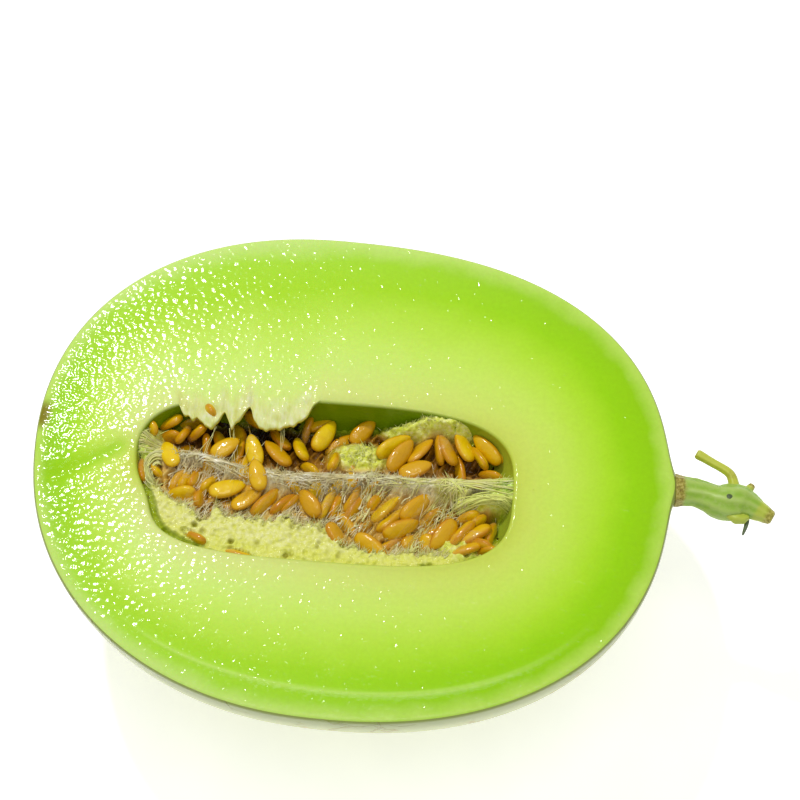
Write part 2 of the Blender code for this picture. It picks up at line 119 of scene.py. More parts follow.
# The stem's collar
STEM_RADIUS = 4.2 * MM
STEM_MIDDLE_Y = 2.4 * MM
STEM_MIDDLE_DROP = 4.4 * MM
STEM_GAP = 0.35 * MM
COLLAR_HEIGHT = 1.8 * MM
COLLAR_SPREAD = 4 * MM

# The pulp's bed and strand, the lip along the near edge and the groove behind it
BED_HEIGHT = -8 * MM
BED_FAR_DROP = 1.8 * MM
BED_SLOPE_REACH = 5 * MM
PULP_TOP_LIMIT = -0.8 * MM
PULP_MIN_THICKNESS = 1 * MM
PULP_RIM_DIP = 8 * MM
STRAND_RISE = 5.4 * MM
STRAND_REACH = 3.0 * MM
LIP_DEPTH = 1.1 * MM
LIP_FALL = 1.8 * MM
LIP_EDGE_REACH = 1.4 * MM
GROOVE_WIDTH = 2.6 * MM
GROOVE_EDGE_REACH = 1.6 * MM
GROOVE_END_X = -32 * MM
GROOVE_END_REACH = 5 * MM
GROOVE_TOP_Y = 1 * MM
GROOVE_DROP = 1.8 * MM

# The line that the strand runs along, in millimetres
STRAND_LINE = (
    (-54.0, 2.4), (-42.0, 1.4), (-35.0, 0.4), (-27.0, -2.2), (-20.0, -3.0), (0.0, -3.0), (12.0, -1.8),
    (20.0, -1.5), (34.0, -2.4), (42.0, -2.0), (56.0, -2.0),
)

# The band of threads at the stem end that arches over the hollow in the pulp, in millimetres
END_ARCH = ((34.0, -8.8), (37.2, -7.6), (40.5, -6.4), (44.7, -6.0), (49.0, -6.3), (53.0, -7.8))

# Threads that hang from the flap's points to the strand: upper x and y, lower x and y, in millimetres
FLAP_THREADS = ((-35.5, 10.0, -38.5, 2.6), (-29.9, 9.8, -28.5, 1.6), (-15.5, 11.8, -14.5, 0.8))

# The torn upper edge of the lip, in millimetres
LIP_EDGE = (
    (-52.4, -2.5), (-49.2, -7.5), (-46.5, -10.3), (-41.7, -12.3), (-39.2, -13.9), (-37.1, -15.2),
    (-34.6, -16.8), (-33.3, -16.1), (-32.6, -13.0), (-31.5, -12.7), (-30.2, -13.8), (-28.1, -15.1),
    (-24.9, -15.4), (-21.6, -15.0), (-18.1, -15.9), (-15.6, -15.1), (-13.2, -14.0), (-9.7, -15.3),
    (-6.5, -16.0), (-4.5, -16.1), (-2.4, -15.2), (-0.3, -16.4), (2.2, -18.8), (5.2, -20.7),
    (9.5, -22.1), (15.1, -22.6), (26.0, -22.0), (38.0, -21.5),
)

# Hills and hollows on the pulp: the middle, the reach along x and y and the rise, in millimetres
Hill = namedtuple("Hill", "x y reach_x reach_y rise")

PULP_HILLS = (
    Hill(7, 6.5, 8, 4.2, 5.2),
    Hill(20, 15.4, 7, 2.8, 6.0),
    Hill(27, 18.0, 6, 3.0, 7.6),
    Hill(34, -2.4, 5, 3.4, 3.2),
    Hill(51, -1.6, 7, 4.2, 7.0),
    Hill(37.5, -7.0, 2.6, 1.6, 2.6),
    Hill(42.0, -6.0, 3.2, 1.6, 3.2),
    Hill(47.5, -6.0, 3.4, 1.7, 3.6),
    Hill(35, 17.0, 6, 3.2, 7.6),
    Hill(-56, 6.0, 5.5, 9, 9.0),
    Hill(-24, 12, 18, 5, -4.5),
    Hill(6, 18, 14, 4, -4.0),
    Hill(46, -11.5, 8, 4.0, -4.5),
    Hill(45, 5.6, 5, 1.8, -4.0),
    Hill(38, -19, 9, 4, 2.0),
)

# A long seed. One that looks shorter than the shortest dips its point, and a narrow one stands on edge.
SEED_LENGTH = 11.6 * MM
SHORTEST_SEED = 9.4 * MM
SEED_WIDTH = 5.3 * MM
SEED_THICKNESS = 2.7 * MM
SEED_SWELL = 1.97
TIP_SHARPNESS = 0.6
ROUND_SHARPNESS = 0.42

# Seeds whose top is less deep than this, in millimetres, lie on top, and threads keep off them.
# The next ones down are tried at random places and lie this far from each other.
TOP_SEED_DEPTH = 4.7
DEEP_SEED_TRIES = 60
DEEP_SEED_SPACING = 4.2

# The film round a seed: places behind its point, in millimetres, and how narrow the film is there
FILM_TAIL = ((3.2, 0.5), (1.8, 0.7), (0.8, 0.9))
FILM_SWELL = 1.06
FILM_GAP = 0.14 * MM

# Seeds as they show from above: the middle, the way from the point to the round end in degrees,
# how long and how wide they look, and how far their top lies under the face, in millimetres
Seed = namedtuple("Seed", "x y turn long wide top")

SEED_BUNCHES = {
    "seeds_upper_left": (
        Seed(-54.4, 10.1, -44, 8, 4.2, 2.0),
        Seed(-48.7, 12.1, 13, 7.5, 4.4, 4.5),
        Seed(-48.3, 7.9, 10, 6.0, 3.4, 5.5),
        Seed(-44.3, 9.4, -104, 7.2, 3.8, 5.0),
        Seed(-40.7, 10.0, 16, 5.5, 4.2, 5.5),
        Seed(-47.1, 1.7, -61, 9.2, 5.4, 3.2),
        Seed(-31.7, 5.4, 217, 9.4, 5.3, 4.2),
        Seed(-34.1, 9.5, -66, 8.0, 4.0, 8.5),
        Seed(-37.5, 6.2, 95, 8.5, 3.0, 7.5),
        Seed(-37.3, 16.0, -63, 5.6, 3.2, 1.4),
    ),
    "seeds_upper_middle": (
        Seed(-23.5, 5.4, -72, 10.2, 5.3, 4.8),
        Seed(-21.3, -3.4, -72, 9.8, 5.3, 0.9),
        Seed(-16.8, 5.3, -43, 10.6, 4.8, 4.8),
        Seed(-16.8, 11.0, -50, 9.0, 4.4, 8.0),
        Seed(-10.5, 7.9, -69, 8.6, 4.0, 6.2),
        Seed(-4.0, 13.0, -118, 11.0, 5.0, 7.5),
        Seed(-5.3, 17.6, -151, 9.5, 4.6, 9.5),
        Seed(-0.5, 4.4, -92, 6.6, 3.6, 4.6),
        Seed(-25.0, 15.7, -38, 7.0, 3.6, 5.0),
        Seed(-7.2, 1.6, -31, 6.0, 3.0, 6.0),
        Seed(6.8, 15.1, -131, 9.6, 5.0, 8.0),
        Seed(-9.5, 15.0, 80, 9.0, 3.4, 9.0),
    ),
    "seeds_upper_right": (
        Seed(16.1, 10.1, 216, 11.6, 4.2, 3.8),
        Seed(18.4, 6.8, 238, 11.4, 4.7, 2.8),
        Seed(23.7, 9.3, 229, 10.4, 4.3, 4.4),
        Seed(23.0, 2.7, 204, 10.0, 5.2, 2.8),
        Seed(29.2, 10.5, -81, 9.8, 3.0, 4.4),
        Seed(31.6, 10.0, -63, 10.4, 4.4, 3.8),
        Seed(36.2, 11.6, -62, 10.2, 4.6, 4.2),
        Seed(40.8, 9.0, -56, 9.0, 2.8, 4.6),
        Seed(42.8, 11.1, -44, 11.4, 4.7, 3.8),
        Seed(46.0, 11.8, -51, 10.6, 2.9, 5.4),
        Seed(44.3, 3.9, -20, 7.0, 2.8, 5.6),
        Seed(40.5, 0.2, -21, 7.5, 3.0, 5.0),
    ),
    "seeds_lower_left": (
        Seed(-54.0, -3.6, -82, 8.6, 3.4, 2.4),
        Seed(-52.6, -8.2, -65, 7.0, 2.8, 6.5),
        Seed(-51.2, -1.9, -64, 7.4, 3.8, 4.6),
        Seed(-44.3, -4.3, -116, 9.6, 2.8, 5.4),
        Seed(-41.8, -3.9, -112, 9.0, 2.8, 5.8),
        Seed(-39.4, -3.4, -107, 8.0, 2.8, 5.6),
        Seed(-34.4, -5.0, -130, 8.6, 3.0, 5.2),
        Seed(-42.9, -9.4, 11, 9.0, 4.2, 4.4),
        Seed(-36.9, -9.8, -110, 6.4, 4.0, 5.0),
        Seed(-29.5, -7.4, -161, 10.8, 5.2, 3.2),
        Seed(-23.7, -10.0, -140, 10.2, 5.0, 3.2),
        Seed(-18.3, -10.1, -129, 11.2, 3.8, 3.4),
        Seed(-32.5, -12.6, 34, 9.0, 3.0, 6.5),
        Seed(-13.5, -9.8, -135, 9.8, 2.8, 4.6),
        Seed(-11.0, -9.2, -132, 9.6, 2.8, 5.0),
        Seed(-36.9, -23.4, -27, 8.0, 2.8, 0.6),
        Seed(-24.0, -27.8, -13, 9.4, 2.8, 0.5),
    ),
    "seeds_lower_middle": (
        Seed(-6.0, -9.8, -52, 9.8, 4.9, 3.0),
        Seed(-1.2, -9.0, -111, 10.6, 3.2, 4.2),
        Seed(1.6, -8.8, -108, 9.8, 2.9, 5.4),
        Seed(0.7, -12.2, -101, 9.6, 3.2, 7.4),
        Seed(5.9, -6.8, -114, 9.4, 3.3, 4.4),
        Seed(6.9, -9.4, -119, 9.8, 2.8, 5.0),
        Seed(12.9, -6.2, -127, 8.6, 3.3, 5.2),
        Seed(15.5, -9.0, -132, 11.2, 4.3, 4.4),
        Seed(17.5, -12.1, -135, 11.2, 3.6, 4.6),
        Seed(24.1, -8.5, -133, 11.4, 4.6, 2.8),
        Seed(20.4, -15.2, -153, 11.2, 4.1, 3.0),
        Seed(12.5, -21.3, 149, 11.0, 4.8, 2.4),
        Seed(2.7, -19.5, 126, 9.0, 4.4, 2.0),
        Seed(30.1, -8.7, -139, 9.0, 2.9, 5.8),
        Seed(34.4, -8.5, -141, 9.0, 3.3, 7.0),
        Seed(10.0, -14.5, -128, 10.0, 3.2, 6.2),
        Seed(-3.5, -15.0, -100, 9.0, 3.4, 6.6),
    ),
    "seeds_lower_right": (
        Seed(32.3, -16.2, 55, 11.0, 4.7, 2.8),
        Seed(37.1, -15.2, 51, 11.2, 3.5, 3.4),
        Seed(41.2, -15.1, 34, 10.2, 4.4, 3.2),
        Seed(38.2, -9.8, 27, 8.0, 3.0, 5.8),
        Seed(38.9, -20.1, 21, 9.2, 4.2, 2.2),
        Seed(42.8, -18.2, -18, 6.8, 3.0, 2.8),
        Seed(45.0, -20.0, -4, 6.2, 2.7, 2.8),
        Seed(45.6, -13.6, -105, 8.2, 3.1, 5.8),
        Seed(40.6, -11.6, 40, 9.5, 3.2, 5.2),
    ),
}

ALL_SEEDS = sum(SEED_BUNCHES.values(), ())

# How many threads, torn ends and sheets of film the pulp has
STRAND_TRAILS = 240
STRAND_SPIKES = 1300
THREADS_PER_FLAP_POINT = 3
SLANTING_THREADS = 1900
LIP_SPIKES = 1100
HILL_SPIKES_PER_REACH = 4
FAN_CORDS = 7
THREADS_PER_CORD = 3
ARCH_THREADS = 26
KNOT_THREADS = 60
LOOP_THREADS = 26
WALL_THREADS = 36
FILM_SHEETS = 70

# The stem's parts: along, across, up and radius, from the middle of the stem's foot, in millimetres
STALK_LINE = (
    (-0.5, 0, 0, 4.7), (3, 0, 0, 4.1), (6, -0.3, 0, 4.0), (9, -1.3, 0, 4.1), (11.5, -2.2, 0, 4.7),
    (14.5, -2.4, 0, 5.2), (18, -2.2, 0, 5.0), (20.5, -2.9, 0, 3.9), (24, -4.6, 0, 2.7),
    (27.2, -6.2, 0, 1.9),
)
BRANCH_LINE = (
    (16.4, 0, 0.5, 1.7), (15.9, 3.6, 0.8, 1.45), (14.4, 6.4, 1, 1.3), (9.5, 9.2, 1, 1.25),
    (5.2, 11.4, 1.2, 1.4),
)
TENDRIL_LINE = ((19.5, -5, 0, 1.0), (20, -8, 0, 0.7), (18.9, -11.8, 0, 0.3))
BUD_LINE = ((19, 0, 0.5, 1.6), (20.6, 2.2, 0.8, 1.15), (21.4, 3.2, 1, 0.9))
LEAF_SCAR_LINE = (
    (13.4, -5.6, 1, 0.5), (14.8, -6.5, 1.1, 1.2), (17, -7.3, 1.2, 1.6), (19, -7.2, 1.1, 1.3),
    (20.3, -6.5, 1, 0.5),
)
PORE_LINE = ((14.3, -2.6, 4.4, 1.3), (14.3, -2.55, 5.0, 1.0), (14.3, -2.5, 5.35, 0.6))

# How a stem part's far end rounds off, and over what share of its length its colours change
TUBE_END_SHARE = 0.76
TUBE_END_STEP = 0.12
TONE_BLEND = 0.02

# How fine the meshes are
ANGLE_COUNT = 640
TURN_SAMPLES = 2881
BOWL_RINGS = 14
FLAP_RINGS = 6
FACE_RINGS = 64
RIM_RINGS = 5
OUTER_RINGS = 54
PULP_CELLS_LONG = 400
PULP_CELLS_ACROSS = 180
SEED_RINGS = 14
SEED_SIDES = 20
UNDERSIDE_RINGS = 7
FILM_STEPS = 8
COLLAR_CROWDING = 1.5
COLLAR_TURNS = math.radians(16)
FLAP_CROWDING = 1.6
FLAP_TURN = math.radians(115)
FLAP_TURNS = math.radians(28)

# The camera looks at the photographed angle: 66 degrees down and a little from the right
CAMERA_ELEVATION = math.radians(66)
CAMERA_TURN = math.radians(4.8)
CAMERA_DISTANCE = 0.6
CAMERA_LENS = 94.5
CAMERA_SENSOR = 36
CAMERA_AIM = Vector((17.0 * MM, 21.9 * MM, FACE_HEIGHT))

# The pale room and the white table, which glows a little
ROOM_STRENGTH = 0.44
TABLE_GLOW = 0.42
TABLE_HALF = 1.5


def linear(part):
    if part <= 0.04045:
        return part / 12.92
    return ((part + 0.055) / 1.055) ** 2.4


def colour(hex_text):
    """A linear colour from an sRGB hex one."""
    return (*[linear(int(hex_text[i : i + 2], 16) / 255) for i in (0, 2, 4)], 1)


def smoothstep(low, high, value):
    share = np.clip((value - low) / (high - low), 0, 1)
    return share * share * (3 - 2 * share)


def rough(points, size, offset=0.0):
    """Smooth noise at each point, from about -1 to 1, with lumps of the given size."""
    shift = Vector((offset, -offset, offset))
    return np.array([noise.noise(Vector(p) / size + shift) for p in points])


def pores(points, size, offset=0.0):
    """How near the middle of a pore each point is, from 0 to 1, with pores of the given spacing."""
    shift = Vector((offset, -offset, offset))
    off = np.array([noise.voronoi(Vector(p) / size + shift)[0][0] for p in points])
    return smoothstep(0.5, 0.1, off)


def smooth_line(x, stations):
    """The height at x of a smooth line through stations of (x, y) in millimetres."""
    line_x, line_y = np.array(stations).T * MM
    slopes = np.gradient(line_y, line_x)
    at = np.clip(np.searchsorted(line_x, x) - 1, 0, len(line_x) - 2)
    width = line_x[at + 1] - line_x[at]
    share = np.clip((x - line_x[at]) / width, 0, 1)
    rise = share * share * (3 - 2 * share)
    start = share * (1 - share) ** 2 * slopes[at] * width
    end = share**2 * (share - 1) * slopes[at + 1] * width
    return line_y[at] + (line_y[at + 1] - line_y[at]) * rise + start + end


# Node trees


# The map range node's setting for a smooth change from one end to the other
SMOOTH = {"interpolation_type": "SMOOTHSTEP"}


def set_stops(ramp, stops):
    """Sets a ramp's colours from (place, hex) stops."""
    while len(ramp.elements) < len(stops):
        ramp.elements.new(0.5)
    for element, (place, hex_text) in zip(ramp.elements, stops):
        element.position = place
        element.color = colour(hex_text)


def add_node(tree, kind, settings=None, links=None, output=0):
    """Adds one node and gives one of its outputs.

    The settings are its own, its sockets' values and its colour stops. A link comes from another
    node's output, or from a value that is stored on the mesh, by its name.
    """
    node = tree.nodes.new(kind)
    for name, value in (settings or {}).items():
        if name == "stops":
            set_stops(node.color_ramp, value)
        elif isinstance(name, int) or name in node.inputs:
            node.inputs[name].default_value = value
        else:
            setattr(node, name, value)
    for name, source in (links or {}).items():
        if isinstance(source, str):
            source = add_node(tree, "ShaderNodeAttribute", {"attribute_name": source}, output="Fac")
        tree.links.new(source, node.inputs[name])
    return node.outputs[output]


def new_material(name, **settings):
    """A material with one Principled BSDF, whose sockets take the settings."""
    material = bpy.data.materials.new(name)
    material.use_nodes = True
    shader = material.node_tree.nodes["Principled BSDF"]
    for socket, value in settings.items():
        shader.inputs[socket.replace("_", " ")].default_value = value
    return material, material.node_tree, shader


def paint_coats(tree, base, *coats):
    """Paints coats over a base, one after another. Each has its share and its colour or hex text."""
    for share, coat in coats:
        settings = {"data_type": "RGBA"}
        links = {0: share}
        for socket, source in ((6, base), (7, coat)):
            if isinstance(source, str):
                settings[socket] = colour(source)
            else:
                links[socket] = source
        base = add_node(tree, "ShaderNodeMix", settings, links, output=2)
    return base


def grain(tree, size, detail=2.0, roughness=0.5, stretch=(1, 1, 1)):
    """Noise with lumps of a real size, stretched along an axis where asked."""
    place = add_node(tree, "ShaderNodeTexCoord", output="Object")
    scaled = add_node(tree, "ShaderNodeMapping", {"Scale": stretch}, {"Vector": place})
    settings = {"Scale": 1 / size, "Detail": detail, "Roughness": roughness}
    return add_node(tree, "ShaderNodeTexNoise", settings, {"Vector": scaled}, output="Fac")


def bumps(tree, shader, heights, sockets=("Normal", "Coat Normal")):
    """Chains bumps of (height source, real height) into the shader's normals."""
    last = None
    for source, real_height in heights:
        links = {"Height": source}
        if last:
            links["Normal"] = last
        last = add_node(tree, "ShaderNodeBump", {"Distance": real_height, "Strength": 1.0}, links)
    for socket in sockets:
        tree.links.new(last, shader.inputs[socket])


# Materials


def wet_flesh():
    """Honeydew flesh, cut with a knife and wet: translucent green, cream towards the seeds, with painted
    shade and painted light on the cavity's wall.
    """
    material, tree, shader = new_material(
        "wet_honeydew_flesh", Roughness=0.45, IOR=1.36, Specular_IOR_Level=0.1, Coat_Weight=0.48,
        Coat_Roughness=0.1, Coat_IOR=1.35, Subsurface_Weight=0.2, Subsurface_Scale=2 * MM,
        Subsurface_Radius=(1.0, 1.6, 0.3),
    )
    cloud = grain(tree, 9 * MM, detail=4)
    moved = add_node(tree, "ShaderNodeMath", {"operation": "MULTIPLY_ADD", 1: 0.12, 2: -0.06}, {0: cloud})
    ring = add_node(tree, "ShaderNodeMath", {"operation": "ADD"}, {0: "reach", 1: moved})
    stops = (
        (0.0, "dde692"), (0.1, "d9ea88"), (0.22, "d3ee80"), (0.36, "cdee6c"), (0.5, "c4e956"),
        (0.72, "aedf2a"), (0.88, "aee038"), (1.0, "c8e67c"),
    )
    pale = add_node(tree, "ShaderNodeValToRGB", {"stops": stops}, {"Fac": ring})
    stops = (
        (0.0, "c6d548"), (0.12, "cce05a"), (0.3, "c8e656"), (0.45, "bce440"), (0.6, "aee024"),
        (0.75, "9ad602"), (0.9, "96cf04"), (1.0, "bade58"),
    )
    deep = add_node(tree, "ShaderNodeValToRGB", {"stops": stops}, {"Fac": ring})
    # The cavity's wall is painted a dark olive: painted shade on the far wall. At the two ends and on the
    # near side it is painted lighter: painted light where the lamp reaches it.
    lit_end = add_node(tree, "ShaderNodeMapRange", SMOOTH | {1: 0.6, 2: 0.95}, {"Value": "ends"})
    wall = paint_coats(tree, "7a9a04", (lit_end, "c6d03c"), ("near", "a2b830"))
    # The crease is painted a deeper green: partly its own tissue, partly painted shade on its tilted sides.
    cut = paint_coats(tree, pale, ("ends", deep), ("streak", "c6e872"), ("crease", "9ed400"))
    whole = paint_coats(tree, cut, ("scar", "86801c"), ("inner", wall))
    fibre = grain(tree, 1.2 * MM, detail=3, roughness=0.6)
    shade = add_node(tree, "ShaderNodeMath", {"operation": "MULTIPLY_ADD", 1: 0.16, 2: 0.92}, {0: fibre})
    worn = add_node(tree, "ShaderNodeVectorMath", {"operation": "SCALE"}, {0: whole, "Scale": shade})
    stops = ((0.3, "d0d272"), (0.5, "dde296"), (0.7, "e9ecc0"))
    streaks = grain(tree, 1.4 * MM, 3, 0.6, (1, 0.25, 0.4))
    cream = add_node(tree, "ShaderNodeValToRGB", {"stops": stops}, {"Fac": streaks})
    torn = paint_coats(tree, worn, ("cream", cream), ("torn_edge", "dfd52c"))
    tree.links.new(torn, shader.inputs["Base Color"])
    bumps(tree, shader, ((fibre, 0.03 * MM),), sockets=("Normal",))
    # Opened cells catch the light as glints. They are under 0.5 mm, and drawn at 1.5 mm to show.
    spots = grain(tree, 1.7 * MM, detail=0)
    beads = add_node(tree, "ShaderNodeMapRange", SMOOTH | {1: 0.62, 2: 0.8}, {"Value": spots})
    cells = grain(tree, 1.5 * MM, detail=0.3)
    bumps(tree, shader, ((cells, 0.175 * MM), (beads, 0.05 * MM)), sockets=("Coat Normal",))
    return material


def waxy_rind():
    """Honeydew rind, grown smooth and waxy, pale, with a sparse tan net, faint mottling and a painted shade
    of dark olive just under the rim.
    """
    material, tree, shader = new_material(
        "waxy_melon_rind", Roughness=0.34, IOR=1.45, Coat_Weight=0.35, Coat_Roughness=0.15,
        Subsurface_Weight=0.1, Subsurface_Scale=1 * MM, Subsurface_Radius=(1.0, 1.2, 0.5),
    )
    stops = ((0.3, "c0cd88"), (0.5, "ced78e"), (0.72, "d6dc98"))
    mottle = add_node(tree, "ShaderNodeValToRGB", {"stops": stops}, {"Fac": grain(tree, 6 * MM, 5, 0.6)})
    settings = SMOOTH | {1: 0.62, 2: 0.72, 3: 0, 4: 0.5}
    freckle = add_node(tree, "ShaderNodeMapRange", settings, {"Value": grain(tree, 0.9 * MM, 1)})
    place = add_node(tree, "ShaderNodeTexCoord", output="Object")
    settings = {"Scale": 1 / (9 * MM), "Detail": 3.0}
    bend = add_node(tree, "ShaderNodeTexNoise", settings, {"Vector": place}, output="Color")
    shift = add_node(tree, "ShaderNodeVectorMath", {"operation": "SCALE", "Scale": 14 * MM}, {0: bend})
    bent = add_node(tree, "ShaderNodeVectorMath", {"operation": "ADD"}, {0: place, 1: shift})
    settings = {"feature": "DISTANCE_TO_EDGE", "Scale": 1 / (13 * MM)}
    off_line = add_node(tree, "ShaderNodeTexVoronoi", settings, {"Vector": bent}, output="Distance")
    line = add_node(tree, "ShaderNodeMapRange", SMOOTH | {1: 0.01, 2: 0.05, 3: 1, 4: 0}, {"Value": off_line})
    patches = grain(tree, 22 * MM, 2)
    patch = add_node(tree, "ShaderNodeMapRange", SMOOTH | {1: 0.5, 2: 0.62}, {"Value": patches})
    net = add_node(tree, "ShaderNodeMath", {"operation": "MULTIPLY"}, {0: line, 1: patch})
    skin = paint_coats(tree, mottle, (freckle, "eef0c4"), (net, "c9b26c"), ("shoulder", "7f8f2c"))
    tree.links.new(skin, shader.inputs["Base Color"])
    bumps(tree, shader, ((net, 0.25 * MM), (grain(tree, 1.5 * MM, 2), 0.06 * MM)))
    return material


def fibrous_pulp():
    """Placenta pulp, torn by the knife and wet: spongy cream, tan by the seeds, and darker with depth down
    to near black in the hollows, which is painted shade.
    """
    material, tree, shader = new_material(
        "fibrous_placenta_pulp", Roughness=0.4, IOR=1.36, Specular_IOR_Level=0.2, Coat_Weight=0.8,
        Coat_Roughness=0.12, Coat_IOR=1.36, Subsurface_Weight=0.2, Subsurface_Scale=0.8 * MM,
        Subsurface_Radius=(1.0, 1.0, 0.6),
    )
    # By depth, from cream at the face to near black 14 mm down: the tan is the pulp's own, the darkening is
    # painted shade in the hollows.
    stops = (
        (0.0, "dedd90"), (0.3, "e2d084"), (0.46, "d6ae4c"), (0.58, "a87614"), (0.75, "5c3804"),
        (1.0, "2a1800"),
    )
    bed = add_node(tree, "ShaderNodeValToRGB", {"stops": stops}, {"Fac": "depth"})
    fine = grain(tree, 1.4 * MM, 4, 0.65)
    stops = ((0.25, "d2d444"), (0.42, "dfe074"), (0.7, "ecebaa"))
    cream = add_node(tree, "ShaderNodeValToRGB", {"stops": stops}, {"Fac": fine})
    lip = paint_coats(tree, cream, ("by_flesh", "dbe04a"))
    stops = ((0.3, "d6cc9c"), (0.5, "ece6c8"), (0.75, "faf8ea"))
    fibres = grain(tree, 0.9 * MM, 4, 0.7, (0.3, 1, 1))
    white = add_node(tree, "ShaderNodeValToRGB", {"stops": stops}, {"Fac": fibres})
    stops = ((0.3, "ccd638"), (0.5, "e6ea68"), (0.7, "f2f4a8"))
    green = add_node(tree, "ShaderNodeValToRGB", {"stops": stops}, {"Fac": grain(tree, 1.3 * MM, 3)})
    # The pits are painted a darker olive: painted shade in the pores.
    pulp = paint_coats(
        tree, bed, ("lip", lip), ("strand", white), ("hill", green), ("pit", "96921c"),
        ("groove", "a0b01c"), ("joined", "c2e060"),
    )
    tree.links.new(pulp, shader.inputs["Base Color"])
    bumps(tree, shader, ((fine, 0.35 * MM), (grain(tree, 0.5 * MM, 2), 0.12 * MM)))
    return material


def seed_skin():
    """Melon seed coat, hard and smooth, in a wet film: golden, orange brown along its rim."""
    material, tree, shader = new_material(
        "wet_golden_seed_coat", Roughness=0.4, IOR=1.45, Specular_IOR_Level=0.2, Coat_Weight=1.0,
        Coat_Roughness=0.12, Coat_IOR=1.38, Subsurface_Weight=0.06, Subsurface_Scale=0.8 * MM,
        Subsurface_Radius=(1.0, 0.7, 0.1),
    )
    stops = ((0.0, "cc9402"), (0.35, "dcaa02"), (0.7, "e6bc02"), (1.0, "f0d004"))
    gold = add_node(tree, "ShaderNodeValToRGB", {"stops": stops}, {"Fac": "tone"})
    settings = SMOOTH | {1: 0.35, 2: 0.7, 3: 0, 4: 0.35}
    cloud = add_node(tree, "ShaderNodeMapRange", settings, {"Value": grain(tree, 2.2 * MM, 3)})
    skin = paint_coats(tree, gold, (cloud, "d6a00c"), ("rim", "bc6c06"))
    tree.links.new(skin, shader.inputs["Base Color"])
    bumps(tree, shader, ((grain(tree, 2.2 * MM, 2), 0.3 * MM),))
    return material


def seed_film():
    """The thin wet film that each seed grew in, torn open: nearly clear, pale tan, with fine veins."""
    material, tree, shader = new_material(
        "clear_seed_film", Roughness=0.3, IOR=1.36, Coat_Weight=1.0, Coat_Roughness=0.05, Coat_IOR=1.36,
        Alpha=0.13,
    )
    stops = ((0.35, "e0b030"), (0.5, "ecd070"), (0.65, "f6ecc8"))
    veins = grain(tree, 0.8 * MM, 3, 0.6, (0.4, 1, 1))
    tone = add_node(tree, "ShaderNodeValToRGB", {"stops": stops}, {"Fac": veins})
    tree.links.new(tone, shader.inputs["Base Color"])
    bumps(tree, shader, ((grain(tree, 0.9 * MM, 2), 0.08 * MM),))
    return material


def wet_fibre():
    """Strands that feed the seeds: thin, wet, off-white, and yellow-green where they are fresh."""
    material, tree, shader = new_material(
        "wet_seed_strand", Roughness=0.5, IOR=1.36, Specular_IOR_Level=0.2, Coat_Weight=0.3,
        Coat_Roughness=0.1,
    )
    stops = ((0.3, "d2bf80"), (0.5, "e6dbae"), (0.7, "f4efd8"))
    pale = add_node(tree, "ShaderNodeValToRGB", {"stops": stops}, {"Fac": grain(tree, 3 * MM, 3)})
    tree.links.new(paint_coats(tree, pale, ("fresh", "dfe67a")), shader.inputs["Base Color"])
    bumps(tree, shader, ((grain(tree, 0.8 * MM, 2), 0.05 * MM),))
    return material


def green_stalk():
    """Melon stalk, grown ribbed and finely bumpy: green, with tan cork at its foot and cut tip."""
    material, tree, shader = new_material(
        "ribbed_green_stalk", Roughness=0.48, IOR=1.45, Coat_Weight=0.15, Coat_Roughness=0.3,
        Subsurface_Weight=0.1, Subsurface_Scale=0.8 * MM, Subsurface_Radius=(0.8, 1.0, 0.3),
    )
    stops = ((0.0, "8eb634"), (0.5, "9cbf46"), (1.0, "aec962"))
    ribbed = add_node(tree, "ShaderNodeValToRGB", {"stops": stops}, {"Fac": "rib"})
    settings = SMOOTH | {1: 0.4, 2: 0.7, 3: 0, 4: 0.6}
    spots = add_node(tree, "ShaderNodeMapRange", settings, {"Value": grain(tree, 1.4 * MM, 3)})
    stops = ((0.35, "7c6a22"), (0.5, "a59a3a"), (0.65, "c2b565"))
    cork = add_node(tree, "ShaderNodeValToRGB", {"stops": stops}, {"Fac": grain(tree, 0.7 * MM, 3)})
    coats = ((spots, "a8c060"), ("yellow", "c4c83c"), ("cork", cork), ("dry", "3d4a34"))
    tree.links.new(paint_coats(tree, ribbed, *coats), shader.inputs["Base Color"])
    bumps(tree, shader, ((grain(tree, 0.9 * MM, 3, 0.6, (0.3, 1, 1)), 0.12 * MM),))
    return material


def lit_table():
    """White acrylic table, matt and softly lit from below, as used for white backgrounds."""
    material, tree, shader = new_material("lit_white_acrylic", Roughness=0.9, Emission_Strength=TABLE_GLOW)
    stops = ((0.4, "fbfbfb"), (0.6, "ffffff"))
    tone = add_node(tree, "ShaderNodeValToRGB", {"stops": stops}, {"Fac": grain(tree, 30 * MM, 2)})
    tree.links.new(tone, shader.inputs["Base Color"])
    shader.inputs["Emission Color"].default_value = colour("ffffff")
    return material


# Meshes


def new_mesh(name, points, faces):
    mesh = bpy.data.meshes.new(name)
    mesh.from_pydata(points, [], faces)
    return mesh


def make_object(name, mesh, materials):
    thing = bpy.data.objects.new(name, mesh)
    bpy.context.scene.collection.objects.link(thing)
    for material in materials:
        mesh.materials.append(material)
    mesh.shade_smooth()
    return thing


def set_values(mesh, name, values):
    """Stores a number for each point, which a material reads by name."""
    layer = mesh.attributes.new(name, "FLOAT", "POINT")
    layer.data.foreach_set("value", np.asarray(values, np.float32).ravel())


def face_outward(mesh):
    build = bmesh.new()
    build.from_mesh(mesh)
    bmesh.ops.recalc_face_normals(build, faces=build.faces)
    build.to_mesh(mesh)
    build.free()


def ring_quads(index):
    """Four-cornered faces between rings of point numbers, each ring closed on itself."""
    after = np.roll(index, -1, axis=1)
    return np.stack((index[:-1], after[:-1], after[1:], index[1:]), axis=-1).reshape(-1, 4).tolist()


def closed_faces(index):
    """The faces of a closed body from rings of point numbers: its sides, and then its two ends."""
    return ring_quads(index) + [index[0][::-1].tolist(), index[-1].tolist()]


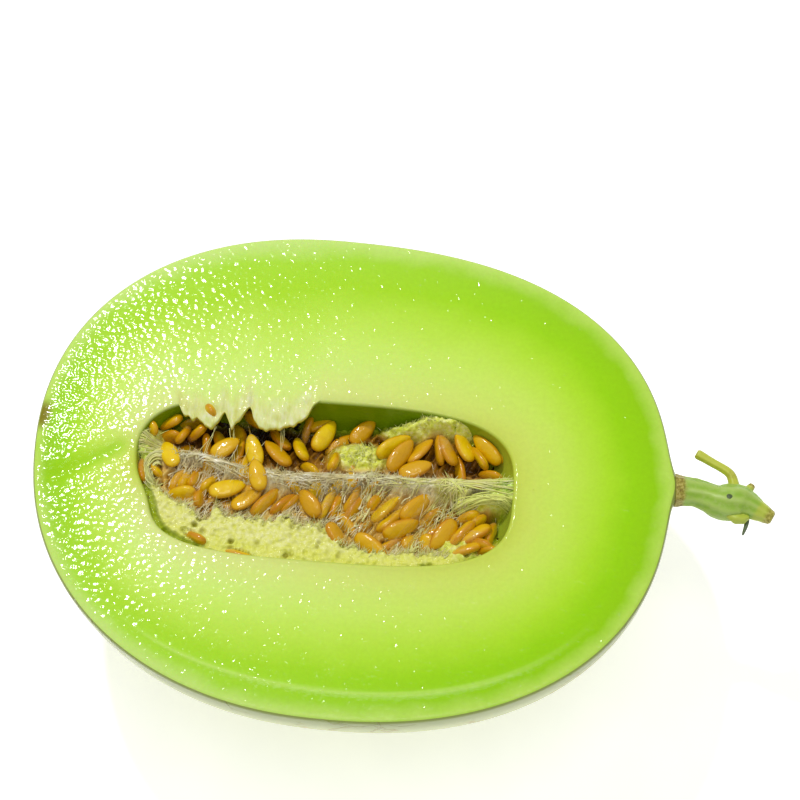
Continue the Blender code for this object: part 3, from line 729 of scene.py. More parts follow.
def closed_rings(name, rings, materials, second_from=None):
    """One closed body from rings of points. From one ring on, its faces take the second material."""
    count, sides, _ = rings.shape
    faces = closed_faces(np.arange(count * sides).reshape(count, sides))
    mesh = new_mesh(name, rings.reshape(-1, 3).tolist(), faces)
    if second_from is not None:
        slots = (np.arange(len(faces)) // sides >= second_from).astype(np.int32)
        # The first end lies among the last faces, but it belongs to the first rings
        slots[-2] = 0
        mesh.polygons.foreach_set("material_index", slots)
    face_outward(mesh)
    return make_object(name, mesh, materials)


# The fruit


def along_end(turn, stem_value, blossom_value):
    return np.where(np.cos(turn) > 0, stem_value, blossom_value)


def turn_between(turn, other):
    """The angle from one turn to another, by the short way round."""
    return np.arctan2(np.sin(turn - other), np.cos(turn - other))


def fullness(turn):
    """How square an upright section through the middle is, from round across to full along."""
    end = along_end(turn, STEM_END_FULLNESS, BLOSSOM_END_FULLNESS)
    return ROUND_FULLNESS + (end - ROUND_FULLNESS) * np.cos(turn) ** 2


def rim_radius(turn):
    """The cut face's outline, from the middle of the widest section."""
    side = along_end(turn, STEM_SIDE_LENGTH, BLOSSOM_SIDE_LENGTH)
    power = along_end(turn, STEM_END_FULLNESS, BLOSSOM_END_FULLNESS)
    plain = np.abs(np.cos(turn) / side) ** power + np.abs(np.sin(turn) / HALF_WIDTH) ** power
    return plain ** (-1 / power) * (1 - LEAN * np.sin(2 * turn) + PEAR * np.sin(3 * turn))


def outer_ring(turn, depth, inset=0.0):
    """A ring on the rind, below the cut face by depth."""
    share = depth / (FACE_HEIGHT + FLAT_SPOT_DEPTH)
    power = fullness(turn)
    radius = rim_radius(turn) * (1 - share**power) ** (1 / power) - inset
    x = radius * np.cos(turn)
    y = radius * np.sin(turn)
    off = np.hypot(y - STEM_MIDDLE_Y, STEM_MIDDLE_DROP - depth)
    collar = COLLAR_HEIGHT * np.exp(-np.maximum(0, off - STEM_RADIUS) / COLLAR_SPREAD)
    x = x + collar * smoothstep(0.7, 0.95, x / STEM_SIDE_LENGTH)
    return np.stack((x, y, np.full_like(x, FACE_HEIGHT - depth)), axis=-1)


def cavity_edge(turn):
    """The cavity's plain edge on the cut face, from the cavity's middle."""
    along = np.cos(turn)
    across = np.sin(turn)
    fill = (np.abs(along) ** CAVITY_FULLNESS + np.abs(across) ** CAVITY_FULLNESS) ** (-1 / CAVITY_FULLNESS)
    off = turn_between(turn, CAVITY_DENT_TURN) / CAVITY_DENT_REACH
    fill = fill * (1 - CAVITY_DENT * np.exp(-off * off))
    return np.stack((CAVITY_HALF_LENGTH * along * fill, CAVITY_HALF_WIDTH * across * fill), axis=-1)


def bowl_share(depth):
    """How wide the cavity is at a depth, as a share of its width at the face."""
    share = np.clip(depth / CAVITY_DEPTH, 0, 1)
    return (1 - share**BOWL_FULLNESS) ** (1 / BOWL_FULLNESS)


def flap_edge_y(x):
    """The flap's torn edge at x: smooth lobes and points, slightly frayed."""
    fray = np.sin(x / (0.62 * MM)) + 0.7 * np.sin(x / (0.31 * MM) + 1.3)
    return smooth_line(x, FLAP_EDGE) + 0.5 * FLAP_FRAY * fray


def cavity_ring(turn, depth, overhang=0.0, gap=0.0):
    """A ring on the cavity's wall. The overhang brings in the flap's share of its reach."""
    edge = cavity_edge(turn) * bowl_share(depth)
    length = np.hypot(edge[:, 0], edge[:, 1])
    edge = edge * (1 - np.minimum(gap / length, 0.9))[:, None]
    x = CAVITY_MIDDLE.x + edge[:, 0]
    y = CAVITY_MIDDLE.y + edge[:, 1]
    inside = (edge[:, 1] > 0) & (x > FLAP_EDGE[0][0] * MM) & (x < FLAP_EDGE[-1][0] * MM)
    torn = np.minimum(y, flap_edge_y(x))
    y = np.where(inside, y + (torn - y) * overhang, y)
    return np.stack((x, y, np.full_like(x, FACE_HEIGHT - depth)), axis=-1)


def ring_turns(count):
    """Turns round the fruit, closer together at the stem's collar and along the flap."""
    fine = np.linspace(-math.pi, math.pi, TURN_SAMPLES)
    crowd = 1 + COLLAR_CROWDING * np.exp(-((fine / COLLAR_TURNS) ** 2))
    crowd += FLAP_CROWDING * np.exp(-(((fine - FLAP_TURN) / FLAP_TURNS) ** 2))
    along = np.concatenate(([0], np.cumsum(crowd[1:] + crowd[:-1])))
    return np.interp(np.arange(count) * along[-1] / count, along, fine)


def crease_share(x, y):
    """How far a spot lies in the crease at the blossom end."""
    way = CREASE_END - CREASE_START
    along = ((x - CREASE_START.x) * way.x + (y - CREASE_START.y) * way.y) / way.length_squared
    off_x = x - CREASE_START.x - along * way.x
    off_y = y - CREASE_START.y - along * way.y
    ends = smoothstep(-0.05, 0.15, along) * smoothstep(1.1, 0.8, along)
    return ends * np.exp(-((np.hypot(off_x, off_y) / CREASE_REACH) ** 2))


def streak_share(share, turn):
    """How far a spot lies on the step that the knife left along the near side."""
    compass = np.degrees(turn)
    middle = STREAK_SHARE + 0.03 * smoothstep(-120, -60, compass)
    window = smoothstep(-140, -118, compass) * smoothstep(-25, -60, compass)
    return window * np.exp(-(((share - middle) / STREAK_WIDTH) ** 2))


def cut_relief(points, share, turn):
    """How the knife left the face: long waves, small lumps, the step and the crease."""
    fade = smoothstep(0, 0.06, share) * smoothstep(0, 0.03, 1 - share)
    waves = 0.16 * MM * rough(points, 30 * MM) + 0.03 * MM * rough(points, 7 * MM, 3.1)
    pits = 0.02 * MM * rough(points, 2.4 * MM, 7.7)
    step = 0.3 * MM * streak_share(share, turn)
    crease = CREASE_DEPTH * crease_share(points[:, 0], points[:, 1])
    return fade * (waves + pits + step - crease)


def torn_lumps(ring):
    """The coarse relief of the torn flap."""
    return 0.45 * MM * rough(ring, 2.6 * MM, 6.1) + 0.3 * MM * rough(ring, 1.3 * MM, 2.9)


class MelonBody:
    """Collects the rings of the melon's closed body and the values that its materials read."""

    def __init__(self):
        self.turns = ring_turns(ANGLE_COUNT)
        plain = cavity_ring(self.turns, 0.0)
        torn = cavity_ring(self.turns, 0.0, overhang=1.0)
        overhang_length = np.hypot(*(plain - torn)[:, :2].T)
        self.flap = smoothstep(0.5 * MM, 3 * MM, overhang_length)
        self.droop = FLAP_DROOP * smoothstep(0, 9 * MM, overhang_length)
        self.rings = []
        self.values = {name: [] for name in ("reach", "inner", "cream", "torn_edge")}

    def add(self, ring, **values):
        self.rings.append(ring)
        for name, rows in self.values.items():
            rows.append(np.broadcast_to(values.get(name, 0.0), ANGLE_COUNT))

    def add_wall(self):
        """The cavity's wall, from its deepest place up to the flap's root."""
        for k in range(BOWL_RINGS):
            down = math.pi / 2 * (BOWL_RINGS - k) / (BOWL_RINGS + 0.3)
            depth = CAVITY_DEPTH * math.sin(down)
            if depth > 2 * FLAP_THICKNESS:
                self.add(cavity_ring(self.turns, depth), inner=1.0)

    def add_flap(self):
        """The flap's underside, out to its torn edge. Where there is no flap, the wall goes on up."""
        for k in range(FLAP_RINGS + 1):
            share = k / FLAP_RINGS
            depth = 2 * FLAP_THICKNESS - (2 * FLAP_THICKNESS - EDGE_ROUNDING) * share
            ring = cavity_ring(self.turns, depth, overhang=math.sin(math.pi / 2 * share) ** 1.5)
            ring[:, 2] -= self.droop * share
            torn_edge = self.flap * smoothstep(0.5, 1, share)
            self.add(ring, inner=1 - self.flap * share, cream=self.flap * share, torn_edge=torn_edge)

    def add_edge(self):
        """The rounded edge from the wall or the flap onto the cut face."""
        count = len(EDGE_PAINTED_SHADE_SHARES)
        for k, painted_shade_share in enumerate(EDGE_PAINTED_SHADE_SHARES, 1):
            down = math.pi / 2 * k / count
            depth = EDGE_ROUNDING * (1 - math.sin(down))
            back = EDGE_ROUNDING * (1 - math.cos(down))
            ring = cavity_ring(self.turns, depth, overhang=1 - 0.02 * k, gap=-back)
            ring[:, 2] -= self.droop
            # The wall's painted shade fades out over the rounded edge
            inner = (1 - self.flap) * painted_shade_share
            self.add(ring, inner=inner, cream=self.flap, torn_edge=self.flap * (1 - k / count))

    def add_face(self):
        """The cut face, out to the rind, with the flap's lumpy root along the cavity's far side."""
        edge = self.rings[-1].copy()
        edge[:, 2] += self.droop
        skin = outer_ring(self.turns, 0, inset=RIM_ROUNDING)
        for k in range(1, FACE_RINGS + 1):
            share = (k / FACE_RINGS) ** 1.15
            ring = edge + (skin - edge) * share
            ring[:, 2] += torn_lumps(ring) * self.flap * smoothstep(FLAP_ROOT_SHARE, 0.08, share)
            droop = self.droop * max(0, 1 - share / FLAP_ROOT_SHARE) ** 2
            ring[:, 2] += cut_relief(ring, share, self.turns) - droop
            # The last of the wall's painted shade runs a little way onto the face
            inner = EDGE_PAINTED_SHADE_SHARES[-1] * (1 - self.flap) * smoothstep(0.05, 0, share)
            self.add(ring, reach=share, inner=inner, cream=self.flap * smoothstep(0.17, 0.04, share))

    def add_rim(self):
        """The rounded rim where the cut face turns down to the rind."""
        for k in range(1, RIM_RINGS + 1):
            down = math.pi / 2 * k / RIM_RINGS
            inset = RIM_ROUNDING * (1 - math.sin(down))
            self.add(outer_ring(self.turns, RIM_ROUNDING * (1 - math.cos(down)), inset=inset), reach=1.0)

    def add_rind(self):
        """The rind, down to the flat spot that the fruit lies on."""
        full_depth = FACE_HEIGHT + FLAT_SPOT_DEPTH
        lowest = math.asin(FACE_HEIGHT / full_depth)
        first = math.asin(RIM_ROUNDING / full_depth)
        for k in range(1, OUTER_RINGS + 1):
            down = first + (lowest - first) * (k / OUTER_RINGS) ** 1.2
            self.add(outer_ring(self.turns, full_depth * math.sin(down)), reach=1.0)

    def paint(self, mesh):
        """Stores where the flesh and the rind change colour."""
        for name, rows in self.values.items():
            set_values(mesh, name, np.array(rows))
        x, y, z = np.moveaxis(np.array(self.rings), -1, 0)
        blossom_end = np.exp(-((turn_between(self.turns, math.pi) / math.radians(24)) ** 2))
        stem_end = smoothstep(-60 * MM, 85 * MM, x - 0.3 * y)
        set_values(mesh, "ends", np.maximum(stem_end, 0.9 * blossom_end[None, :]))
        reach = np.array(self.values["reach"])
        set_values(mesh, "streak", 0.7 * streak_share(reach, self.turns[None, :]))
        # The crease's deeper green is partly painted shade
        set_values(mesh, "crease", 0.8 * crease_share(x, y))
        # The near side of the cavity, where the wall is painted lighter: painted light
        set_values(mesh, "near", smoothstep(3 * MM, -6 * MM, y))
        off_scar = np.hypot(x - SCAR_PLACE.x, y - SCAR_PLACE.y) + np.maximum(0, FACE_HEIGHT - z)
        scar = smoothstep(SCAR_REACH, 0.3 * SCAR_REACH, off_scar) * smoothstep(0.88, 0.97, reach)
        set_values(mesh, "scar", scar)
        # The rind just under the rim is painted darker: painted shade
        shoulder = 0.85 * smoothstep(FACE_HEIGHT - 14 * MM, FACE_HEIGHT - 2 * MM, z)
        set_values(mesh, "shoulder", shoulder)


def make_melon(flesh, rind):
    """The whole grown body: cavity wall, torn flap, cut face, soft rim and rind, as one closed mesh."""
    body = MelonBody()
    body.add_wall()
    body.add_flap()
    body.add_edge()
    body.add_face()
    rind_from = len(body.rings) + 1
    body.add_rim()
    body.add_rind()
    melon = closed_rings("honeydew_half", np.array(body.rings), [flesh, rind], second_from=rind_from)
    body.paint(melon.data)
    return melon


# The seeds


def seed_rings():
    """A plain seed: a flat drop with a blunt point at -X. Also how near its rim each point is."""
    rings = []
    edges = []
    turn = np.linspace(0, 2 * math.pi, SEED_SIDES, endpoint=False)
    for k in range(SEED_RINGS + 1):
        share = 0.5 - 0.5 * math.cos(math.pi * (0.05 + 0.92 * k / SEED_RINGS))
        swell = SEED_SWELL * share**TIP_SHARPNESS * (1 - share) ** ROUND_SHARPNESS
        across = SEED_WIDTH / 2 * swell * np.cos(turn)
        flat = np.abs(np.sin(turn)) ** 0.85 * np.sign(np.sin(turn))
        through = SEED_THICKNESS / 2 * min(1, 1.15 * swell) * flat
        rings.append(np.stack((np.full(SEED_SIDES, (share - 0.5) * SEED_LENGTH), across, through), axis=-1))
        tip = max(0, abs(share - 0.5) * 2 - 0.8) / 0.2
        edges.append(np.clip(np.maximum(np.abs(np.cos(turn)) ** 8, 0.8 * tip), 0, 1))
    return np.array(rings), np.array(edges)


def real_length(seed):
    return min(max(seed.long * MM, SHORTEST_SEED), SEED_LENGTH)


def seed_matrix(seed, draw):
    """Where a seed lies. One that looks short dips its point, one that looks narrow stands on edge."""
    pitch = math.acos(seed.long * MM / real_length(seed)) + math.radians(draw.uniform(-4, 4))
    roll = math.acos(min(1, max(0, (seed.wide * MM - SEED_THICKNESS) / (SEED_WIDTH - SEED_THICKNESS))))
    roll = roll * draw.choice((-1, 1)) + math.radians(draw.uniform(-8, 8))
    rise = abs(math.sin(pitch)) * real_length(seed) / 2
    half = math.hypot(SEED_WIDTH / 2 * math.sin(roll), SEED_THICKNESS / 2 * math.cos(roll))
    height = FACE_HEIGHT - seed.top * MM - max(0.6 * rise, half)
    lie = Matrix.Rotation(math.radians(seed.turn), 4, "Z") @ Matrix.Rotation(-pitch, 4, "Y")
    return Matrix.Translation((seed.x * MM, seed.y * MM, height)) @ lie @ Matrix.Rotation(roll, 4, "X")


def deep_seeds(seeds, draw):
    """The next seeds down, which peep out between the ones on top."""
    taken = [(seed.x, seed.y) for seed in seeds]
    found = []
    for _ in range(DEEP_SEED_TRIES):
        near = draw.choice(seeds)
        x = near.x + draw.uniform(-6, 6)
        y = near.y + draw.uniform(-5, 5)
        clear = all(math.hypot(x - other_x, y - other_y) > DEEP_SEED_SPACING for other_x, other_y in taken)
        on_hill = float(pulp_zones(np.array(x * MM), np.array(y * MM))[3]) > 0.3
        if clear and not on_hill and line_at(x, LIP_EDGE) + 1.5 < y < 16 and abs(x + 2) < 49:
            taken.append((x, y))
            turn = near.turn + draw.gauss(0, 25)
            deep = near.top + draw.uniform(2.6, 4.0)
            found.append(Seed(x, y, turn, draw.uniform(8, 11), draw.uniform(3, 5), deep))
    return found


def make_seed_bunch(name, seeds, material, draw):
    rings, edges = seed_rings()
    shape = np.concatenate((rings.reshape(-1, 3), np.ones((rings.size // 3, 1))), axis=1)
    skin = closed_faces(np.arange(len(shape)).reshape(rings.shape[:2]))
    points, faces, tones, rims = [], [], [], []
    for number, seed in enumerate(seeds + tuple(deep_seeds(seeds, draw))):
        start = len(shape) * number
        shorter = real_length(seed) / SEED_LENGTH
        bent = shape * np.array((shorter, draw.uniform(0.98, 1.1), draw.uniform(0.9, 1.15), 1))
        bent[:, 2] += draw.uniform(-12, 12) * bent[:, 0] ** 2
        placed = bent @ np.array(seed_matrix(seed, draw)).T
        points.append(placed[:, :3])
        faces.extend([[corner + start for corner in face] for face in skin])
        tones.append(np.full(len(shape), draw.uniform(0.1, 1)))
        rims.append(edges.ravel() * draw.uniform(0.35, 0.8))
    mesh = new_mesh(name, np.concatenate(points).tolist(), faces)
    set_values(mesh, "tone", np.concatenate(tones))
    set_values(mesh, "rim", np.concatenate(rims))
    return make_object(name, mesh, [material])


def placed_seeds(bunch):
    """Each seed of a bunch as its rings of points, from its point to its round end."""
    points = np.array([vert.co for vert in bunch.data.vertices])
    return points.reshape(-1, SEED_RINGS + 1, SEED_SIDES, 3)


def torn_film(rings, draw):
    """The film round the pointed part of a seed, drawn out behind its point and torn open round it."""
    middles = rings.mean(axis=1)
    way = middles[-1] - middles[0]
    way /= np.linalg.norm(way)
    film = []
    for back, narrow in FILM_TAIL:
        ring = middles[0] + (rings[0] - middles[0]) * narrow - way * back * MM
        ring[:, 2] -= 0.25 * back * MM
        film.append(ring)
    last = int(SEED_RINGS * draw.uniform(0.35, 0.72))
    for k in range(last + 1):
        out = rings[k] - middles[k]
        off = FILM_GAP * out / np.linalg.norm(out, axis=1)[:, None]
        film.append(middles[k] + out * FILM_SWELL + off)
    tear = np.array([draw.uniform(-1.6, 1.8) for _ in range(SEED_SIDES)])
    tear = (tear + np.roll(tear, 1) + np.roll(tear, 2)) / 2
    film[-1] = film[-1] + tear[:, None] * way * MM
    return np.array(film)


def film_sheet(draw):
    """Pairs of points along a sheet of film that stands on the pulp, from the lip to the strand."""
    x = draw.uniform(-46, 33)
    low_y = torn_lip_y(x)
    high_y = middle_strand(x) - 0.5
    over = draw.uniform(0.3, 0.8) * (high_y - low_y)
    low = on_pulp(x, low_y - 0.5, 0.2)
    high = on_pulp(x + over, high_y, draw.uniform(0.3, 1.2))
    stand = Vector((draw.uniform(-0.7, 0.7), draw.uniform(-0.4, 0.4), 1.0)) * draw.uniform(0.8, 2.2) * MM
    points = []
    for k in range(FILM_STEPS + 1):
        share = k / FILM_STEPS
        middle = low.lerp(high, share) + Vector((0.3 * MM * math.sin(5 * share + x), 0, 0))
        narrow = 0.4 + 0.6 * math.sin(math.pi * share)
        points.extend([tuple(middle - stand * narrow * 0.7), tuple(middle + stand * narrow * 0.3)])
    return points


def make_films(material, bunches):
    """The torn film round many seeds, and sheets of it between the near seeds."""
    draw = random.Random(8)
    points, faces = [], []
    for bunch in bunches:
        share = 0.5 if "lower" in bunch.name else 0.25
        for rings in placed_seeds(bunch):
            if draw.random() > share:
                continue
            film = torn_film(rings, draw)
            faces.extend(ring_quads(len(points) + np.arange(film.size // 3).reshape(film.shape[:2])))
            points.extend(film.reshape(-1, 3).tolist())
    for _ in range(FILM_SHEETS):
        start = len(points)
        points.extend(film_sheet(draw))
        faces.extend([start + 2 * k + corner for corner in (0, 1, 3, 2)] for k in range(FILM_STEPS))
    return make_object("seed_films", new_mesh("seed_films", points, faces), [material])


# The pulp


def strand_y(x):
    """Where the fibrous strand through the middle of the pulp runs."""
    return smooth_line(x, STRAND_LINE)


def near_edge_y(x):
    """The cavity's near edge on the face at x."""
    share = np.minimum(1, np.abs(x - CAVITY_MIDDLE.x) / CAVITY_HALF_LENGTH)
    return CAVITY_MIDDLE.y - CAVITY_HALF_WIDTH * (1 - share**CAVITY_FULLNESS) ** (1 / CAVITY_FULLNESS)


def lip_edge_y(x):
    """The lip's torn upper edge at x."""
    fray = 0.45 * MM * np.sin(x / (1.1 * MM)) + 0.3 * MM * np.sin(x / (0.43 * MM) + 2)
    return smooth_line(x, LIP_EDGE) + fray


def wall_place(x, y):
    """How far out a spot is as a share of the way to the wall, and how far that wall is."""
    off_x = x - CAVITY_MIDDLE.x
    off_y = y - CAVITY_MIDDLE.y
    turn = np.arctan2(off_y / CAVITY_HALF_WIDTH, off_x / CAVITY_HALF_LENGTH)
    edge = cavity_edge(turn)
    reach = np.hypot(edge[..., 0], edge[..., 1])
    return np.hypot(off_x, off_y) / reach, reach


def wall_floor(x, y):
    """The lowest that the pulp may reach at a spot: just clear of the cavity's wall."""
    share, reach = wall_place(x, y)
    share = np.minimum(1, share + WALL_GAP / reach)
    return WALL_GAP - CAVITY_DEPTH * (1 - share**BOWL_FULLNESS) ** (1 / BOWL_FULLNESS)


def hill_share(hill, x, y):
    """How far up a hill, or down a hollow, each spot lies, from 0 to 1."""
    return np.exp(-(((x / MM - hill.x) / hill.reach_x) ** 2 + ((y / MM - hill.y) / hill.reach_y) ** 2))


def pulp_zones(x, y):
    """How much each spot belongs to the lip, the groove, the strand and the fresh green hills."""
    lip = smoothstep(0, LIP_EDGE_REACH, lip_edge_y(x) - y)
    share, reach = wall_place(x, y)
    groove = smoothstep(0, GROOVE_EDGE_REACH, GROOVE_WIDTH - reach * (1 - share))
    groove = groove * smoothstep(0, GROOVE_END_REACH, GROOVE_END_X - x)
    groove = groove * smoothstep(0, GROOVE_END_REACH, GROOVE_TOP_Y - y)
    strand = np.exp(-(((y - strand_y(x)) / STRAND_REACH) ** 2)) * smoothstep(-54 * MM, -44 * MM, x)
    green = np.zeros_like(x)
    for hill in PULP_HILLS:
        if hill.rise > 0:
            green = np.maximum(green, smoothstep(0.15, 0.55, hill_share(hill, x, y)))
    return lip, groove, strand, green


def pulp_height(x, y):
    """The pulp's surface before the seeds press into it, below the cut face."""
    lip, groove, strand, _ = pulp_zones(x, y)
    bed = BED_HEIGHT - BED_FAR_DROP * np.tanh(y / BED_SLOPE_REACH) + STRAND_RISE * strand
    for hill in PULP_HILLS:
        bed = bed + hill.rise * MM * hill_share(hill, x, y)
    near = near_edge_y(x)
    up = np.clip((y - near) / np.maximum(lip_edge_y(x) - near, 1 * MM), 0, 1)
    crown = -LIP_DEPTH - LIP_FALL * up * up
    return np.minimum(bed + (crown - bed) * lip - GROOVE_DROP * groove, PULP_TOP_LIMIT)


def seed_nest(points, bunches):
    """How high the pulp may reach at each point, how far the nearest seed is, and its underside."""
    low = []
    for bunch in bunches:
        low.extend(vert.co.copy() for vert in bunch.data.vertices if vert.normal.z < -0.1)
    tree = kdtree.KDTree(len(low))
    for index, place in enumerate(low):
        tree.insert((place.x, place.y, 0), index)
    tree.balance()
    limit = np.full(len(points), 1.0)
    gap = np.full(len(points), 1.0)
    under = np.zeros(len(points))
    for k, (x, y, _) in enumerate(points):
        _, index, off = tree.find((x, y, 0))
        gap[k] = off
        under[k] = low[index].z - FACE_HEIGHT
        limit[k] = under[k] + 0.9 * MM + 3.5 * off
    return limit, gap, under


def pulp_rim(turn):
    """Where the pulp meets the wall, from the cavity's middle: further in where the pulp lies lower."""
    edge = cavity_edge(turn)
    share = np.full(turn.shape, 1.0)
    for _ in range(4):
        x = CAVITY_MIDDLE.x + edge[..., 0] * share
        y = CAVITY_MIDDLE.y + edge[..., 1] * share
        share = bowl_share(-pulp_height(x, y))
    return edge * (share + WALL_OVERLAP / np.hypot(edge[..., 0], edge[..., 1]))[..., None]


def torn_relief(x, y, zones, gap):
    """The torn, spongy relief of the pulp, and how deep each spot lies in a pit."""
    lip, _, strand, hill = zones
    flat = np.stack((x, y, np.zeros_like(x)), axis=-1).reshape(-1, 3)
    open_bed = (1 - lip) * (1 - strand) * (1 - hill)
    lumps = rough(flat, 3.4 * MM).reshape(x.shape)
    fine = rough(flat, 1.1 * MM, 5.5).reshape(x.shape)
    creases = np.abs(rough(flat, 1.9 * MM, 3.3)).reshape(x.shape)
    shreds = rough(flat * np.array((0.35, 1, 1)), 0.9 * MM, 8.8).reshape(x.shape)
    lean = math.radians(60)
    along = x * math.cos(lean) + y * math.sin(lean)
    across = y * math.cos(lean) - x * math.sin(lean)
    combed = np.stack((along * 0.22, across, np.zeros_like(x)), axis=-1).reshape(-1, 3)
    comb = rough(combed, 1.0 * MM, 9.5).reshape(x.shape)
    pit = pores(flat, 2.6 * MM, 2.2).reshape(x.shape) * (lip + 0.5 * hill)
    pit = pit * smoothstep(-0.1, 0.3, rough(flat, 6 * MM, 1.7).reshape(x.shape))
    relief = lumps * (0.45 + 0.9 * hill) + fine * (0.2 + 0.6 * hill + 0.2 * lip + 0.3 * strand)
    relief = relief + shreds * (0.35 * lip + 0.3 * strand) + comb * (0.2 + 1.3 * open_bed)
    relief = relief - creases * (0.9 * lip + 1.2 * hill) - 1.3 * pit
    holes = np.minimum(0, rough(flat, 2.1 * MM, 2.2).reshape(x.shape) + 0.1)
    relief = relief + 5.0 * holes * open_bed * smoothstep(0.3 * MM, 1.5 * MM, gap)
    return relief * MM, np.clip(pit, 0, 1)


def pulp_underside(top, loop):
    """Rings of points from the pulp's edge down along the cavity's wall, towards the middle."""
    edge = top[loop]
    out = edge[:, :2] - np.array(CAVITY_MIDDLE)
    rings = []
    for k in range(UNDERSIDE_RINGS):
        share = 0.985 * math.cos(math.pi / 2 * k / (UNDERSIDE_RINGS - 0.6))
        x = CAVITY_MIDDLE.x + out[:, 0] * share
        y = CAVITY_MIDDLE.y + out[:, 1] * share
        low = np.minimum(wall_floor(x, y), edge[:, 2] - FACE_HEIGHT - 0.5 * MM)
        rings.append(np.stack((x, y, FACE_HEIGHT + low), axis=-1))
    return rings


def paint_pulp(mesh, x, y, height, zones, pit):
    """Stores where the pulp's colours change. Its underside has none of them and is painted the darkest
    shade.
    """
    lip, groove, strand, hill = zones
    share, reach = wall_place(x, y)
    open_side = np.maximum(smoothstep(1 * MM, 8 * MM, y), smoothstep(34 * MM, 42 * MM, x))
    by_wall = smoothstep(7 * MM, 2 * MM, reach * (1 - share)) * open_side
    stem_side = smoothstep(40 * MM, 50 * MM, x) * np.exp(-(((y + 1.6 * MM) / (4.5 * MM)) ** 2))
    blossom_side = smoothstep(-50 * MM, -56 * MM, x) * smoothstep(-4 * MM, 0, y)
    shares = {
        "lip": lip,
        "groove": np.maximum(groove, by_wall * (1 - hill)),
        "strand": strand,
        "hill": hill,
        # Painted shade in the pores
        "pit": pit,
        "joined": np.maximum(stem_side, 0.7 * blossom_side),
        "by_flesh": 0.55 * smoothstep(7 * MM, 1 * MM, y - near_edge_y(x)),
    }
    spare = len(mesh.vertices) - x.size
    for name, value in shares.items():
        set_values(mesh, name, np.concatenate((value.ravel(), np.zeros(spare))))
    # The deeper a spot lies, the darker it is painted: painted shade in the hollows
    depth = np.clip(-height / (14 * MM), 0, 1)
    set_values(mesh, "depth", np.concatenate((depth.ravel(), np.ones(spare))))


def pulp_surface(x, y, out, bunches):
    """The height of the pulp's torn surface with the seeds pressed into it, its zones and its pits."""
    flat = np.stack((x, y, np.zeros_like(x)), axis=-1).reshape(-1, 3)
    zones = pulp_zones(x, y)
    lip, _, _, hill = zones
    limit, gap, under = (values.reshape(x.shape) for values in seed_nest(flat, bunches))
    # The lip and the hills close over the seeds that lie deep under them
    limit = limit + lip * 1.5 * MM + np.maximum(lip, hill) * 20 * MM * smoothstep(-6 * MM, -7 * MM, under)
    relief, pit = torn_relief(x, y, zones, gap)
    height = np.minimum(np.minimum(pulp_height(x, y) + relief, limit), PULP_TOP_LIMIT)
    floor = wall_floor(x, y) + PULP_MIN_THICKNESS - PULP_RIM_DIP * smoothstep(0.86, 0.98, out)
    height = np.maximum(height, np.minimum(floor, PULP_TOP_LIMIT))
    return height, zones, pit


def make_pulp(material, bunches):
    """The pulp: a fine torn surface with the seeds pressed into it, and a plain round underside."""
    along = np.linspace(-1, 1, PULP_CELLS_LONG + 1)[:, None] * np.ones((1, PULP_CELLS_ACROSS + 1))
    across = np.linspace(-1, 1, PULP_CELLS_ACROSS + 1)[None, :] * np.ones((PULP_CELLS_LONG + 1, 1))
    out = np.maximum(np.abs(along), np.abs(across))
    rim = pulp_rim(np.arctan2(across, along))
    x = CAVITY_MIDDLE.x + rim[..., 0] * out
    y = CAVITY_MIDDLE.y + rim[..., 1] * out
    height, zones, pit = pulp_surface(x, y, out, bunches)
    top = np.stack((x, y, FACE_HEIGHT + height), axis=-1).reshape(-1, 3)
    index = np.arange(x.size).reshape(x.shape)
    corners = (index[:-1, :-1], index[1:, :-1], index[1:, 1:], index[:-1, 1:])
    faces = np.stack(corners, axis=-1).reshape(-1, 4).tolist()
    loop = np.concatenate((index[:, 0], index[-1, 1:], index[-2::-1, -1], index[0, -2:0:-1]))
    loops = [loop] + [x.size + len(loop) * k + np.arange(len(loop)) for k in range(UNDERSIDE_RINGS)]
    for upper, lower in zip(loops, loops[1:]):
        ring = np.stack((upper, lower, np.roll(lower, -1), np.roll(upper, -1)), axis=-1)
        faces.extend(ring.tolist())
    faces.append(loops[-1][::-1].tolist())
    mesh = new_mesh("placenta_pulp", np.concatenate([top, *pulp_underside(top, loop)]).tolist(), faces)
    face_outward(mesh)
    paint_pulp(mesh, x, y, height, zones, pit)
    return make_object("placenta_pulp", mesh, [material])


# The fibres


def add_tube(points, faces, path, radii, sides):
    """Adds a closed round tube along a path to lists of points and faces."""
    start = len(points)
    count = len(path)
    for k in range(count):
        ahead = (path[min(k + 1, count - 1)] - path[max(k - 1, 0)]).normalized()
        side = ahead.cross(Vector((0.2, 0.1, 1))).normalized()
        up = side.cross(ahead)
        for j in range(sides):
            turn = 2 * math.pi * j / sides
            points.append(path[k] + radii[k] * (math.cos(turn) * side + math.sin(turn) * up))
    for k in range(count - 1):
        for j in range(sides):
            here = start + k * sides + j
            there = start + k * sides + (j + 1) % sides
            faces.append((here, there, there + sides, here + sides))
    faces.append(tuple(start + j for j in reversed(range(sides))))
    faces.append(tuple(start + (count - 1) * sides + j for j in range(sides)))


